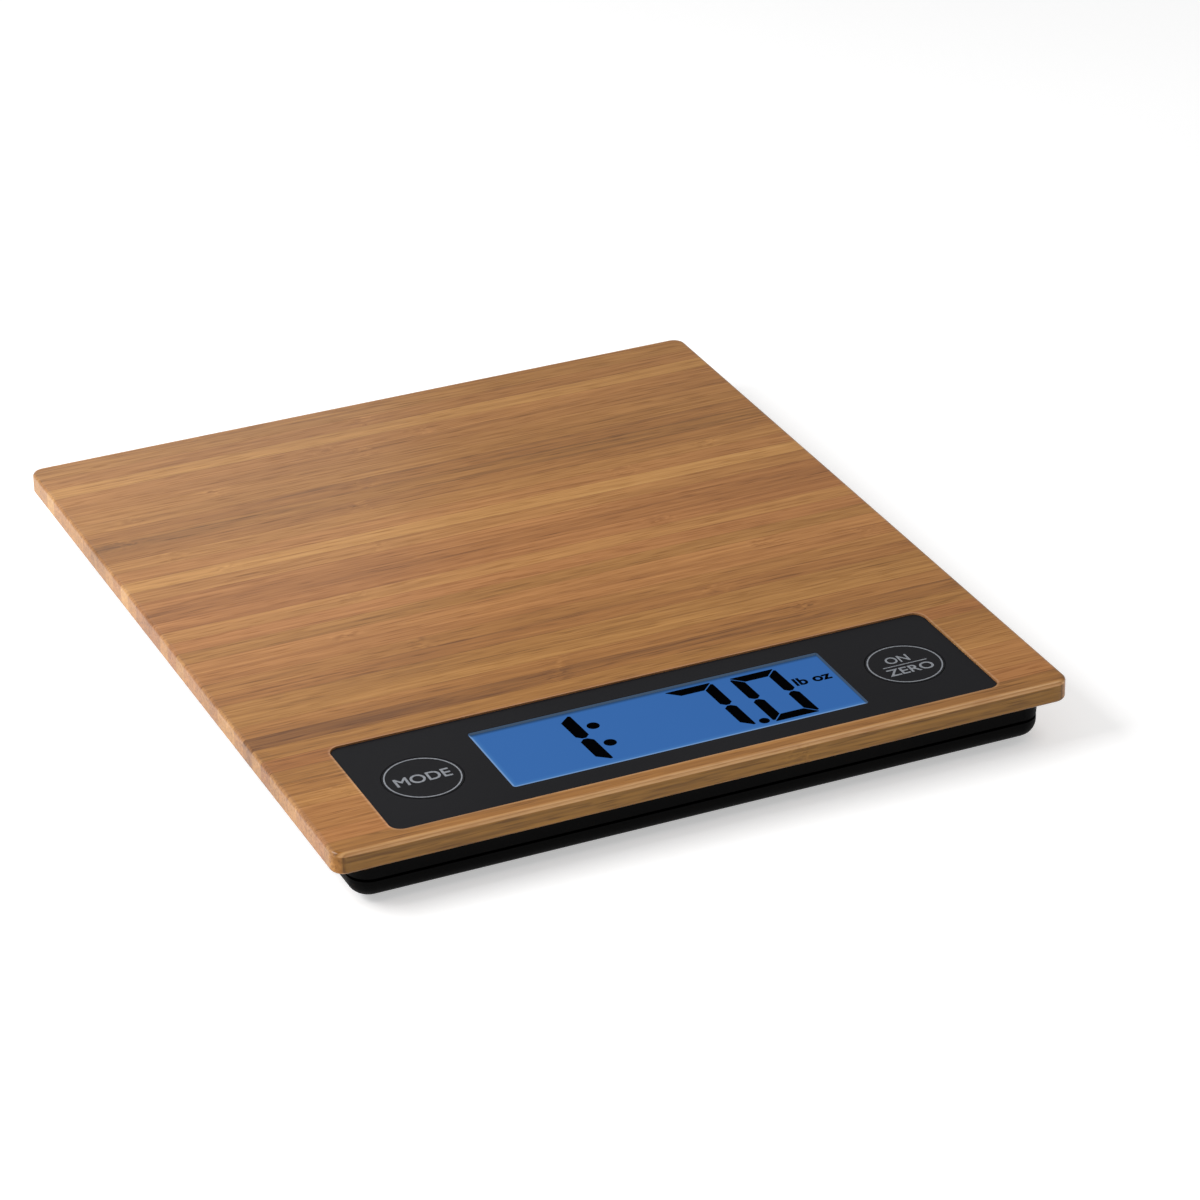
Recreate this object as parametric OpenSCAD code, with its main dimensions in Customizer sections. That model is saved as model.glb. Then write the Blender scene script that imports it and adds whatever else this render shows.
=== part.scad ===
// Slim digital kitchen scale: a bamboo weighing platform with an inset display panel, carried by a
// single load cell between an upper shell and a lower tray.
// Millimetres. The origin is on the table under the middle; +X is right, +Y is back, +Z is up.

/* [Platform] */
// Width of the bamboo platform
platform_width = 180; // [170:1:220]
// Depth of the bamboo platform, front to back
platform_depth = 210; // [190:1:260]
// Thickness of the bamboo platform
platform_thickness = 5.4; // [5:0.1:8]
// Radius of the platform's corners, seen from above
platform_corner = 3.3; // [2:0.1:12]
// Rounding of the platform's top and bottom edges
platform_edge = 0.9; // [0.4:0.1:1.5]

/* [Housing] */
// Distance from the platform's side edges in to the housing
side_inset = 5; // [3:0.5:9]
// Distance from the platform's front and back edges in to the housing
end_inset = 2.1; // [1:0.1:5]
// Height of the upper shell below the platform
shell_height = 4.1; // [3.8:0.1:7]
// Height of the lower tray
tray_height = 4.7; // [4.4:0.1:7]
// Height of the shadow gap between the shell and the tray
seam_gap = 0.7; // [0.6:0.1:1.5]
// Corner radius of the shell at its top, seen from above
housing_corner = 5.4; // [5:0.1:10]
// Inward taper of the shell's walls over their height
shell_taper = 0.3; // [0:0.1:0.6]
// Rounding of the tray's bottom edge
tray_rounding = 3.8; // [2.5:0.1:4.2]
// Thickness of the housing's side walls
wall = 2; // [1.8:0.1:3]
// Thickness of the tray's floor
floor_thickness = 1.6; // [1.5:0.1:2.5]
// Thickness of the shell's roof
roof_thickness = 1.5; // [1.4:0.1:2]
// Height of the tray's dust lip above its rim
lip_height = 1.3; // [1:0.1:1.6]
// Thickness of the tray's dust lip
lip_thickness = 0.8; // [0.6:0.1:0.9]
// Thickness of the stiffening ribs
rib_thickness = 1.2; // [0.8:0.1:2]
// Height of the stiffening ribs on the tray's floor
tray_rib_height = 1.8; // [0.8:0.1:2.2]
// Height of the stiffening ribs under the shell's roof
shell_rib_height = 1; // [0.5:0.1:1.2]
// Distance between stiffening ribs
rib_pitch = 19; // [14:1:30]

/* [Display panel] */
// Width of the display panel
panel_width = 148.8; // [146:0.1:156]
// Depth of the display panel, front to back
panel_depth = 39.9; // [39:0.1:50]
// Corner radius of the display panel
panel_corner = 2.8; // [1:0.1:5]
// Thickness of the display panel
panel_thickness = 1; // [0.8:0.1:1.4]
// Depth of the panel's top below the platform's top
panel_recess = 0.35; // [0:0.05:0.6]
// Distance from the platform's front edge to the panel
panel_margin = 4.5; // [4:0.1:12]
// Width of the ledge in the platform that the panel lies on
panel_ledge = 3; // [2:0.1:3.2]

/* [Display] */
// Width of the display window
window_width = 87.5; // [60:0.5:89]
// Depth of the display window, front to back
window_depth = 25.4; // [18:0.1:26]
// Distance of the window's centre line in front of the panel's
window_offset = 0.75; // [0:0.05:1]
// Margin of the display glass hidden beyond each edge of the window
glass_margin = 2; // [1.8:0.1:2.2]
// Thickness of each of the two display glasses
glass_thickness = 0.55; // [0.4:0.05:0.6]
// Thickness of each polarising film
film_thickness = 0.2; // [0.1:0.05:0.25]
// Wall thickness of the frame round the display glass
frame_wall = 1; // [0.8:0.1:1.1]

/* [Keys] */
// Diameter of each round key
key_diameter = 18.4; // [12:0.1:19]
// Distance from the panel's centre to each key
key_spread = 59.8; // [58.5:0.1:60.5]
// Travel of a key when it is pressed
key_travel = 0.3; // [0.2:0.05:0.4]
// Width of the rim that keeps a key under the panel
key_rim = 1; // [0.6:0.1:1.2]
// Thickness of a key's rim
key_rim_thickness = 0.8; // [0.6:0.1:0.9]

/* [Electronics] */
// Thickness of the circuit board
board_thickness = 1.2; // [1:0.1:1.3]
// Side of each push switch
switch_side = 6; // [4.5:0.1:7]
// Height of each push switch's body
switch_height = 1.2; // [1:0.1:1.4]
// Depth of the opening in the shell's roof under the circuit board
roof_window_depth = 22; // [18:0.5:24]

/* [Weighing] */
// Length of the load cell's beam
beam_length = 60; // [56:1:70]
// Width of the load cell's beam
beam_width = 12.7; // [10:0.1:15]
// Metal left above and below the hole through the beam
beam_web = 0.8; // [0.6:0.1:1]
// Thickness of the steel plates above and below the beam
plate_thickness = 0.8; // [0.7:0.1:1]
// Height of the steel plates' folded edges
plate_flange = 1.6; // [1.2:0.1:2]
// Width of the steel plates
plate_width = 56; // [50:1:58]
// Length of the steel plates
plate_length = 80; // [78:1:90]
// Diameter of the load cell's bolts
bolt_diameter = 3; // [2.5:0.1:3.5]
// Distance between the two bolts at one end of the beam
bolt_pitch = 9; // [8:0.5:10]
// Sinking of the platform under its full load
weighing_travel = 0.4; // [0.2:0.05:0.45]

/* [Battery] */
// Diameter of the coin cell
cell_diameter = 20; // [16:0.5:20.5]
// Height of the coin cell
cell_height = 3.2; // [2:0.1:3.4]
// Distance of the coin cell to the right of the middle
cell_x = 46; // [45:0.5:48]
// Distance of the coin cell in front of the middle
cell_front = 44; // [40:0.5:46]
// Diameter of the battery door's hinge knuckle
knuckle_diameter = 2.2; // [2:0.1:2.6]
// Diameter of the battery door's hinge pins
pin_diameter = 1.1; // [0.9:0.1:1.3]

/* [Feet] */
// Diameter of the rubber feet
foot_diameter = 13; // [10:0.5:16]
// Height of the feet below the tray
foot_height = 1.5; // [1:0.1:3]
// Depth that the feet sit in the tray
foot_seat = 0.8; // [0.5:0.1:1]
// Distance from the housing's sides in to the middle of each foot
foot_inset = 15; // [14:0.5:22]
// Depth of the ring groove in each foot's sole
foot_groove = 0.4; // [0.2:0.1:0.8]

/* [Hidden] */
$fn = 64;

bamboo_colour = "#c08a52";
black_plastic = "#1c1c1e";
white_plastic = "#e8e8e2";
bright_steel = "#b9bcc0";

// Gap round a piece that lies in a pocket, and the gap round one that slides or turns
seat_gap = 0.15;
running_gap = 0.25;
pin_gap = 0.06;
// Overshoot of a cut past the face that it opens
cut = 1;
// Depth that a rib, post or wall is sunk into what it stands on
bury = 0.3;

// Heights from the table up
tray_bottom = foot_height;
floor_top = tray_bottom + floor_thickness;
tray_top = tray_bottom + tray_height;
shell_bottom = tray_top + seam_gap;
platform_bottom = shell_bottom + shell_height;
roof_bottom = platform_bottom - roof_thickness;
platform_top = platform_bottom + platform_thickness;
panel_top = platform_top - panel_recess;
panel_bottom = panel_top - panel_thickness;
board_top = platform_bottom + board_thickness;

// Housing outline
housing_width = platform_width - 2 * side_inset;
housing_depth = platform_depth - 2 * end_inset;
rim_width = housing_width - 2 * shell_taper;
rim_depth = housing_depth - 2 * shell_taper;
rim_corner = housing_corner - shell_taper;
inner_width = rim_width - 2 * wall;
inner_depth = rim_depth - 2 * wall;
inner_corner = rim_corner - wall;
lip_gap = (wall - lip_thickness) / 2;

// Panel, its cut-out and the display, front to back
panel_y = panel_margin + panel_depth / 2 - platform_depth / 2;
window_y = panel_y - window_offset;
cutout_width = panel_width - 2 * panel_ledge;
cutout_depth = panel_depth - 2 * panel_ledge;
cutout_corner = 2;
board_gap = 0.4;
board_width = cutout_width - 2 * board_gap;
board_depth = cutout_depth - 2 * board_gap;
glass_width = window_width + 2 * glass_margin;
glass_depth = window_depth + 2 * glass_margin;
contact_ledge = glass_margin - 0.1;
rear_glass_depth = glass_depth - 2 * contact_ledge;

// Layers of the display from the panel down to the board
front_glass_top = panel_bottom - film_thickness;
rear_glass_top = front_glass_top - glass_thickness;
rear_film_top = rear_glass_top - glass_thickness;
guide_top = rear_film_top - film_thickness;
reflector_thickness = 0.15;
guide_bottom = board_top + reflector_thickness;
lamp_width = 1.5;

// Keys and switches
key_flange_radius = key_diameter / 2 + key_rim;
key_bottom = panel_bottom - key_rim_thickness;
plunger_radius = 1.7;
switch_top = board_top + switch_height;
plunger_depth = 0.4;

// Screws: shank radius, head radius and head height
board_screw = [1, 2, 1];
platform_screw = [1.1, 2.2, 1.1];
slot_width = 0.5;
slot_share = 1.3;
screw_gap = 0.08;
screw_end_room = 0.3;
board_bite = 1.5;
platform_bite = 3.2;
board_screw_inset = 4;
platform_screw_inset = 6;
platform_screws_per_side = 4;
boss_wall = 1.5;
board_boss_height = 2.4;
collar_wall = 0.9;

// Parts soldered under the board: the measuring chip's seal, the memory and the clock crystal
seal_radii = [4, 6];
seal_height = 1.2;
seal_x = -18;
memory_size = [6, 5, 1.5];
memory_place = [22, -5];
crystal_size = [8, 3, 2];
crystal_place = [-38, -6];

// Load cell and its plates
beam_bottom = floor_top + plate_thickness;
beam_top = roof_bottom - plate_thickness;
beam_height = beam_top - beam_bottom;
beam_middle = (beam_bottom + beam_top) / 2;
bolt_radius = bolt_diameter / 2;
bolt_end = 4.5;
bolt_head_radius = bolt_radius + 1.25;
bolt_head_height = 1.3;
bolt_slot_depth = 0.7;
bolt_sink = 0.1;
bolt_bite = beam_height * 0.7;
gauge_size = [4, 3, 0.1];
gauge_reach = 5;
sealant_length = 18;
sealant_thickness = 0.3;
plate_window_margin = 3;
plate_corner = 3;
beam_chamfer = 0.3;
stake_radius = 1.2;
stake_head = [2.2, 0.7];
stake_inset = 5;

// Overload stops
stop_radius = 4;
stop_inset = 24;
stop_clearance = 0.05;
stop_top = roof_bottom - weighing_travel - stop_clearance;

// Battery bay
cell_y = -cell_front;
bay_margin = 3;
bay_wall = 1.2;
bay_roof_thickness = 0.9;
knuckle_radius = knuckle_diameter / 2;
knuckle_tuck = 0.6;
pin_length = 1;
latch_room = 0.5;
door_width = cell_diameter + 2 * bay_margin;
hinge_y = cell_y + cell_diameter / 2 + bay_margin + knuckle_radius - knuckle_tuck;
hinge_z = tray_bottom + knuckle_radius;
door_front = cell_y - cell_diameter / 2 - bay_margin - latch_room;
bay_front = door_front - running_gap;
bay_back = hinge_y + knuckle_radius + running_gap;
bay_side = door_width / 2 + running_gap;
cell_lift = 0.1;
cell_bottom = floor_top + cell_lift;
cell_top = cell_bottom + cell_height;
spring_room = 0.5;
bay_roof_bottom = cell_top + spring_room;
bay_roof_top = bay_roof_bottom + bay_roof_thickness;
ring_lift = 1.2;
ring_gap_width = 6;

// Battery door's snap latch and finger grip
latch_width = 8;
latch_leg = 1;
latch_height = 2.1;
latch_slit = 1;
latch_slit_length = 4;
bead_radius = 0.5;
bead_z = floor_top + latch_height - bead_radius;
grip_count = 3;
grip_pitch = 1.6;
grip_width = 12;
grip_radius = 0.4;

// Battery contacts: thickness of their strip, where the cell's spring rises, and their tags
contact_strip_thickness = 0.2;
spring_width = 3;
spring_reach = 7.8;
spring_bend = 4;
spring_pad = 1;
tag_width = 0.6;
tag_slot = [4, 1];
can_contact_width = 5;
can_contact_x = cell_diameter / 2 + 0.05;
can_tag_width = 2;

// Ribbon cables and their sockets
ribbon_thickness = 0.4;
sensor_ribbon_width = 5;
battery_ribbon_width = 3;
ribbon_room = 2;
socket_margin = 3;
socket_y = panel_y + roof_window_depth / 2 - socket_margin;
socket_walls = 2;
sensor_socket_width = sensor_ribbon_width + socket_walls;
battery_socket_width = battery_ribbon_width + socket_walls;
socket_depth = 4;
socket_height = 2.4;
socket_entry = roof_bottom - 0.7;

// Opening in the shell's roof for what hangs under the board, out past the battery's socket
roof_window_room = 3.5;
roof_window_width = 2 * (cell_x + battery_socket_width / 2 + roof_window_room);

// ---------------------------------------------------------------- shared shapes

// What a rounded edge of this radius takes off a square corner, in its own quarter
module edge_cutter(radius) {
    difference() {
        square(radius + cut);
        circle(radius);
    }
}

// Rectangle with round corners, about the origin
module rounded_rect(width, depth, radius) {
    square([width - 2 * radius, depth], center = true);
    square([width, depth - 2 * radius], center = true);
    for (side = [-1, 1], end = [-1, 1])
        translate([side * (width / 2 - radius), end * (depth / 2 - radius)])
            circle(radius);
}

// Plate with round corners, standing on z = 0
module rounded_plate(width, depth, radius, height) {
    linear_extrude(height) rounded_rect(width, depth, radius);
}

// Section of a rim whose outer face is at x = reach, with its edges rounded
module rim_section(reach, height, top_round, bottom_round) {
    difference() {
        square([reach, height]);
        if (top_round > 0)
            translate([reach - top_round, height - top_round]) edge_cutter(top_round);
        if (bottom_round > 0)
            translate([reach - bottom_round, bottom_round]) mirror([0, 1]) edge_cutter(bottom_round);
    }
}

// Slab with round corners whose rim has the section drawn by the children
module sectioned_slab(width, depth, corner, height) {
    span_x = width - 2 * corner;
    span_y = depth - 2 * corner;
    translate([-span_x / 2, -span_y / 2]) cube([span_x, span_y, height]);
    for (quarter = [0 : 3]) {
        across = quarter % 2 == 0 ? span_x : span_y;
        along = quarter % 2 == 0 ? span_y : span_x;
        rotate(90 * quarter) translate([across / 2, along / 2]) {
            rotate([90, 0]) linear_extrude(along) children();
            rotate_extrude(angle = 90) children();
        }
    }
}

// Cross slot from z = 0 down, for a head of the given radius
module cross_slot(head_radius, depth) {
    for (turn = [0, 90])
        rotate(turn) cube([head_radius * slot_share, slot_width, 2 * depth], center = true);
}

// Screw pointing down, with its head's seat at z = 0
module pan_screw(screw, length) {
    translate([0, 0, -length]) cylinder(r = screw[0], h = length);
    difference() {
        cylinder(r = screw[1], h = screw[2]);
        translate([0, 0, screw[2]]) cross_slot(screw[1], screw[2] / 2);
    }
}

// Countersunk bolt pointing down, with its head's top at z = 0; gap swells it for its own hole
module flat_bolt(length, gap = 0) {
    translate([0, 0, -length]) cylinder(r = bolt_radius + gap, h = length - bolt_head_height / 2);
    translate([0, 0, -bolt_head_height])
        cylinder(r1 = bolt_radius + gap, r2 = bolt_head_radius + gap, h = bolt_head_height);
}

// The same bolt with a cross slot in its head
module driven_bolt(length) {
    difference() {
        flat_bolt(length);
        cross_slot(bolt_head_radius, bolt_slot_depth);
    }
}

// Children at each of a rectangle's four corners
module at_corners(reach_x, reach_y) {
    for (side = [-1, 1], end = [-1, 1])
        translate([side * reach_x, end * reach_y]) children();
}

// Children at the two bolts of the beam's end: +1 is the free end at the back, -1 the fixed end
module at_bolts(end) {
    for (place = [0, 1])
        translate([0, end * (beam_length / 2 - bolt_end - place * bolt_pitch)]) children();
}

// Children at the platform's screws
module at_platform_screws() {
    for (side = [-1, 1], place = [-1 : 2 / (platform_screws_per_side - 1) : 1])
        translate([side * (housing_width / 2 - platform_screw_inset),
                   place * (housing_depth / 2 - platform_screw_inset)])
            children();
}

// Children at the circuit board's screws
module at_board_screws() {
    translate([0, panel_y])
        at_corners(board_width / 2 - board_screw_inset, board_depth / 2 - board_screw_inset) children();
}

// Ribbon cable in a plane across X, rising gently from one end to the other
module ribbon(from, to, width) {
    steps = 12;
    path = [for (step = [0 : steps]) let (t = step / steps, ease = t * t * (3 - 2 * t))
        [from[0] + (to[0] - from[0]) * t, from[1] + (to[1] - from[1]) * ease]];
    back = [for (step = [steps : -1 : 0]) path[step] + [0, ribbon_thickness]];
    rotate([90, 0, 90]) linear_extrude(width, center = true) polygon(concat(path, back));
}

// ---------------------------------------------------------------- platform and panel

module bamboo_platform() {
    color(bamboo_colour)
        difference() {
            translate([0, 0, platform_bottom])
                sectioned_slab(platform_width, platform_depth, platform_corner, platform_thickness)
                    rim_section(platform_corner, platform_thickness, platform_edge, platform_edge);
            translate([0, panel_y, panel_bottom])
                rounded_plate(panel_width + 2 * seat_gap, panel_depth + 2 * seat_gap,
                              panel_corner + seat_gap, panel_thickness + panel_recess + cut);
            translate([0, panel_y, platform_bottom - cut])
                rounded_plate(cutout_width, cutout_depth, cutout_corner, platform_thickness + cut);
            at_platform_screws()
                translate([0, 0, platform_bottom - cut])
                    cylinder(r = platform_screw[0] + screw_gap, h = platform_bite + screw_end_room + cut);
        }
}

module display_panel() {
    color("#25252a")
        difference() {
            translate([0, panel_y, panel_bottom])
                rounded_plate(panel_width, panel_depth, panel_corner, panel_thickness);
            translate([0, window_y, panel_bottom - cut])
                rounded_plate(window_width, window_depth, 0.8, panel_thickness + 2 * cut);
            for (side = [-1, 1])
                translate([side * key_spread, window_y, panel_bottom - cut])
                    cylinder(d = key_diameter + 2 * seat_gap, h = panel_thickness + 2 * cut);
        }
}

// ---------------------------------------------------------------- keys and switches

module key(side) {
    color("#25252a")
        translate([side * key_spread, window_y, key_bottom]) {
            cylinder(d = key_diameter, h = panel_top - key_bottom);
            cylinder(r = key_flange_radius, h = key_rim_thickness);
        }
}

module switch_plunger(side) {
    color("#3a3a3a")
        translate([side * key_spread, window_y, switch_top - plunger_depth])
            cylinder(r = plunger_radius, h = key_bottom - switch_top + plunger_depth);
}

module switch_body(side) {
    color(bright_steel)
        translate([side * key_spread, window_y, board_top])
            difference() {
                translate([-switch_side / 2, -switch_side / 2])
                    cube([switch_side, switch_side, switch_height]);
                translate([0, 0, switch_height - plunger_depth - key_travel - 0.1])
                    cylinder(r = plunger_radius + pin_gap, h = switch_height);
            }
}

module unit_key() { key(-1); }
module tare_key() { key(1); }
module unit_switch_plunger() { switch_plunger(-1); }
module tare_switch_plunger() { switch_plunger(1); }
module unit_switch_body() { switch_body(-1); }
module tare_switch_body() { switch_body(1); }

// ---------------------------------------------------------------- display

// Layer of the display, centred on the window, with its underside at z = bottom
module display_layer(width, depth, bottom, height) {
    translate([-width / 2, window_y - depth / 2, bottom]) cube([width, depth, height]);
}

module front_polariser() {
    color("#5d87c4")
        display_layer(glass_width, glass_depth, front_glass_top, film_thickness);
}

module front_glass() {
    color("#9fc3e8")
        display_layer(glass_width, glass_depth, rear_glass_top, glass_thickness);
}

module rear_glass() {
    color("#9fc3e8")
        display_layer(glass_width, rear_glass_depth, rear_film_top, glass_thickness);
}

module rear_polariser() {
    color("#5d87c4")
        display_layer(glass_width, rear_glass_depth, guide_top, film_thickness);
}

module light_guide() {
    color("#3f7fd0")
        translate([lamp_width / 2, 0, 0])
            display_layer(glass_width - lamp_width, rear_glass_depth, guide_bottom, guide_top - guide_bottom);
}

module reflector_sheet() {
    color(white_plastic)
        display_layer(glass_width, rear_glass_depth, board_top, reflector_thickness);
}

// Row of side-lit lamps at the left end of the light guide
module backlight_lamps() {
    lamp_length = 3;
    lamp_count = 4;
    color("#dfe6c8")
        for (place = [0 : lamp_count - 1])
            translate([-glass_width / 2,
                       window_y - rear_glass_depth / 2 + (place + 0.5) * rear_glass_depth / lamp_count
                           - lamp_length / 2, guide_bottom])
                cube([lamp_width, lamp_length, guide_top - guide_bottom]);
}

module display_frame() {
    inner_x = glass_width + 2 * seat_gap;
    inner_y = glass_depth + 2 * seat_gap;
    color(white_plastic)
        difference() {
            display_layer(inner_x + 2 * frame_wall, inner_y + 2 * frame_wall, board_top,
                          panel_bottom - board_top);
            display_layer(inner_x, inner_y, board_top - cut, panel_bottom - board_top + 2 * cut);
        }
}

// Rubber strip that joins the front glass's contacts to the board
module contact_strip(end) {
    strip_width = contact_ledge - 0.2;
    color("#7d6f86")
        translate([0, window_y + end * (glass_depth - contact_ledge) / 2, board_top])
            translate([-glass_width / 2 + 3, -strip_width / 2])
                cube([glass_width - 6, strip_width, rear_glass_top - board_top]);
}

module front_contact_strip() { contact_strip(-1); }
module rear_contact_strip() { contact_strip(1); }

// ---------------------------------------------------------------- electronics

module circuit_board() {
    color("#2f6b3a")
        difference() {
            translate([0, panel_y, platform_bottom])
                rounded_plate(board_width, board_depth, cutout_corner - board_gap, board_thickness);
            at_board_screws()
                translate([0, 0, platform_bottom - cut])
                    cylinder(r = board_screw[0] + screw_gap, h = board_thickness + 2 * cut);
        }
}

// Parts soldered under the board: the sealed measuring chip, its memory and its clock crystal
module circuit_chips() {
    color("#17171a") {
        translate([seal_x, panel_y, platform_bottom - seal_height])
            cylinder(r1 = seal_radii[0], r2 = seal_radii[1], h = seal_height);
        translate([memory_place[0], panel_y + memory_place[1], platform_bottom - memory_size[2]])
            cube(memory_size);
        translate([crystal_place[0], panel_y + crystal_place[1], platform_bottom - crystal_size[2]])
            cube(crystal_size);
    }
}

module cable_sockets() {
    color(white_plastic)
        for (socket = [[0, sensor_socket_width], [cell_x, battery_socket_width]])
            translate([socket[0] - socket[1] / 2, socket_y - socket_depth, platform_bottom - socket_height])
                cube([socket[1], socket_depth, socket_height]);
}

module board_screws() {
    color(bright_steel)
        at_board_screws()
            translate([0, 0, board_top])
                pan_screw(board_screw, board_thickness + roof_thickness + board_bite);
}

// ---------------------------------------------------------------- upper shell

// Ribs on a grid over the housing's inside, from z = 0 up
module rib_grid(height) {
    length_x = inner_width + 2 * bury;
    length_y = inner_depth + 2 * bury;
    count_x = floor(inner_width / 2 / rib_pitch);
    count_y = floor(inner_depth / 2 / rib_pitch);
    for (place = [-count_x : count_x])
        translate([place * rib_pitch - rib_thickness / 2, -length_y / 2])
            cube([rib_thickness, length_y, height]);
    for (place = [-count_y : count_y])
        translate([-length_x / 2, place * rib_pitch - rib_thickness / 2])
            cube([length_x, rib_thickness, height]);
}

// Room kept free of ribs for the load cell, its plates and the ribbon cables
module rib_keepout(bottom, height) {
    translate([0, 0, bottom]) {
        translate([-plate_width / 2 - ribbon_room, -plate_length / 2 - ribbon_room])
            cube([plate_width + 2 * ribbon_room, plate_length + 2 * ribbon_room, height]);
        translate([-sensor_ribbon_width / 2 - ribbon_room, socket_y])
            cube([sensor_ribbon_width + 2 * ribbon_room, -socket_y, height]);
    }
}

module shell_ribs() {
    difference() {
        union() {
            translate([0, 0, roof_bottom - shell_rib_height]) rib_grid(shell_rib_height + bury);
            at_platform_screws()
                translate([0, 0, roof_bottom - shell_rib_height])
                    cylinder(r = platform_screw[1] + running_gap + collar_wall, h = shell_rib_height + bury);
        }
        rib_keepout(roof_bottom - shell_rib_height - cut, shell_rib_height + 3 * cut);
        at_corners(housing_width / 2 - stop_inset, housing_depth / 2 - stop_inset)
            translate([0, 0, roof_bottom - shell_rib_height - cut])
                cylinder(r = stop_radius + ribbon_room, h = shell_rib_height + 3 * cut);
        at_platform_screws()
            translate([0, 0, roof_bottom - shell_rib_height - cut])
                cylinder(r = platform_screw[1] + running_gap, h = shell_rib_height + cut);
        translate([cell_x - battery_ribbon_width / 2 - ribbon_room, socket_y,
                   roof_bottom - shell_rib_height - cut])
            cube([battery_ribbon_width + 2 * ribbon_room, cell_y - socket_y + cell_diameter / 2,
                  shell_rib_height + 3 * cut]);
    }
}

module upper_shell() {
    color(black_plastic)
        difference() {
            union() {
                difference() {
                    translate([0, 0, shell_bottom])
                        sectioned_slab(housing_width, housing_depth, housing_corner, shell_height)
                            polygon([[0, 0], [rim_corner, 0], [housing_corner, shell_height],
                                     [0, shell_height]]);
                    translate([0, 0, shell_bottom - cut])
                        rounded_plate(inner_width, inner_depth, inner_corner,
                                      shell_height - roof_thickness + cut);
                    translate([0, 0, shell_bottom - cut])
                        rounded_plate(inner_width + 2 * (wall - lip_gap), inner_depth + 2 * (wall - lip_gap),
                                      rim_corner - lip_gap, lip_height + cut);
                }
                shell_ribs();
                at_board_screws()
                    translate([0, 0, roof_bottom - board_boss_height])
                        cylinder(r = board_screw[0] + boss_wall, h = board_boss_height + bury);
                at_corners(plate_width / 2 - stake_inset, plate_length / 2 - stake_inset) {
                    translate([0, 0, beam_top - stake_head[1]])
                        cylinder(r = stake_head[0], h = stake_head[1]);
                    translate([0, 0, beam_top - bury])
                        cylinder(r = stake_radius, h = plate_thickness + 2 * bury);
                }
            }
            translate([0, panel_y, roof_bottom - board_boss_height - cut])
                rounded_plate(roof_window_width, roof_window_depth, cutout_corner,
                              board_boss_height + roof_thickness + 2 * cut);
            at_board_screws()
                translate([0, 0, roof_bottom - board_bite - screw_end_room])
                    cylinder(r = board_screw[0] + screw_gap, h = board_bite + roof_thickness + 2 * cut);
            at_platform_screws()
                translate([0, 0, roof_bottom - cut])
                    cylinder(r = platform_screw[0] + screw_gap, h = roof_thickness + 2 * cut);
            at_bolts(1)
                translate([0, 0, platform_bottom - bolt_sink]) {
                    flat_bolt(roof_thickness + cut, screw_gap);
                    cylinder(r = bolt_head_radius + screw_gap, h = cut);
                }
        }
}

module platform_screws() {
    color(bright_steel)
        at_platform_screws()
            translate([0, 0, roof_bottom]) mirror([0, 0, 1])
                pan_screw(platform_screw, roof_thickness + platform_bite);
}

// ---------------------------------------------------------------- weighing

// Forked steel plate, bolted to one end of the beam and open over the part that moves past it, with
// its long edges folded towards the other plate
module support_plate(bottom, end) {
    window_half = beam_width / 2 + plate_window_margin;
    window_near = sealant_length / 2 + 1;
    window_far = plate_length / 2 + cut;
    flange_length = plate_length - 2 * plate_corner;
    flange_bottom = end > 0 ? bottom + plate_thickness - plate_flange : bottom;
    color(bright_steel)
        difference() {
            union() {
                translate([0, 0, bottom])
                    rounded_plate(plate_width, plate_length, plate_corner, plate_thickness);
                for (side = [-1, 1])
                    translate([side * (plate_width - plate_thickness) / 2 - plate_thickness / 2,
                               -flange_length / 2, flange_bottom])
                        cube([plate_thickness, flange_length, plate_flange]);
            }
            translate([-window_half, end > 0 ? -window_far : -window_near, bottom - cut])
                cube([2 * window_half, window_near + window_far, plate_thickness + 2 * cut]);
            at_bolts(end)
                translate([0, 0, bottom - cut])
                    cylinder(r = bolt_radius + screw_gap, h = plate_thickness + 2 * cut);
            at_corners(plate_width / 2 - stake_inset, plate_length / 2 - stake_inset)
                translate([0, 0, bottom - cut])
                    cylinder(r = stake_radius + screw_gap, h = plate_thickness + 2 * cut);
        }
}

module upper_support_plate() { support_plate(beam_top, 1); }
module lower_support_plate() { support_plate(floor_top, -1); }

// Bar of this section along Y, with its long edges chamfered
module chamfered_bar(width, length, height, chamfer) {
    rotate([90, 0, 0]) linear_extrude(length, center = true)
        difference() {
            square([width, height], center = true);
            for (side = [-1, 1], level = [-1, 1])
                translate([side * width / 2, level * height / 2])
                    rotate(45) square(chamfer * sqrt(2), center = true);
        }
}

// Beam with two holes joined by a slot, which leave four thin places that bend
module load_cell() {
    hole_radius = beam_height / 2 - beam_web;
    color("#c9ccd0")
        difference() {
            translate([0, 0, beam_middle]) chamfered_bar(beam_width, beam_length, beam_height, beam_chamfer);
            for (end = [-1, 1])
                translate([-beam_width / 2 - cut, end * gauge_reach, beam_middle])
                    rotate([0, 90, 0]) cylinder(r = hole_radius, h = beam_width + 2 * cut);
            translate([-beam_width / 2 - cut, -gauge_reach, beam_middle - hole_radius / 2])
                cube([beam_width + 2 * cut, 2 * gauge_reach, hole_radius]);
            for (end = [-1, 1])
                at_bolts(end)
                    translate([0, 0, beam_bottom - cut])
                        cylinder(r = bolt_radius + pin_gap, h = beam_height + 2 * cut);
        }
}

// Gauges over and under the beam's two thin places
module gauge_blocks() {
    for (end = [-1, 1], bottom = [beam_top, beam_bottom - gauge_size[2]])
        translate([-gauge_size[0] / 2, end * gauge_reach - gauge_size[1] / 2, bottom]) cube(gauge_size);
}

module strain_gauges() {
    color("#b5803a") gauge_blocks();
}

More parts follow.
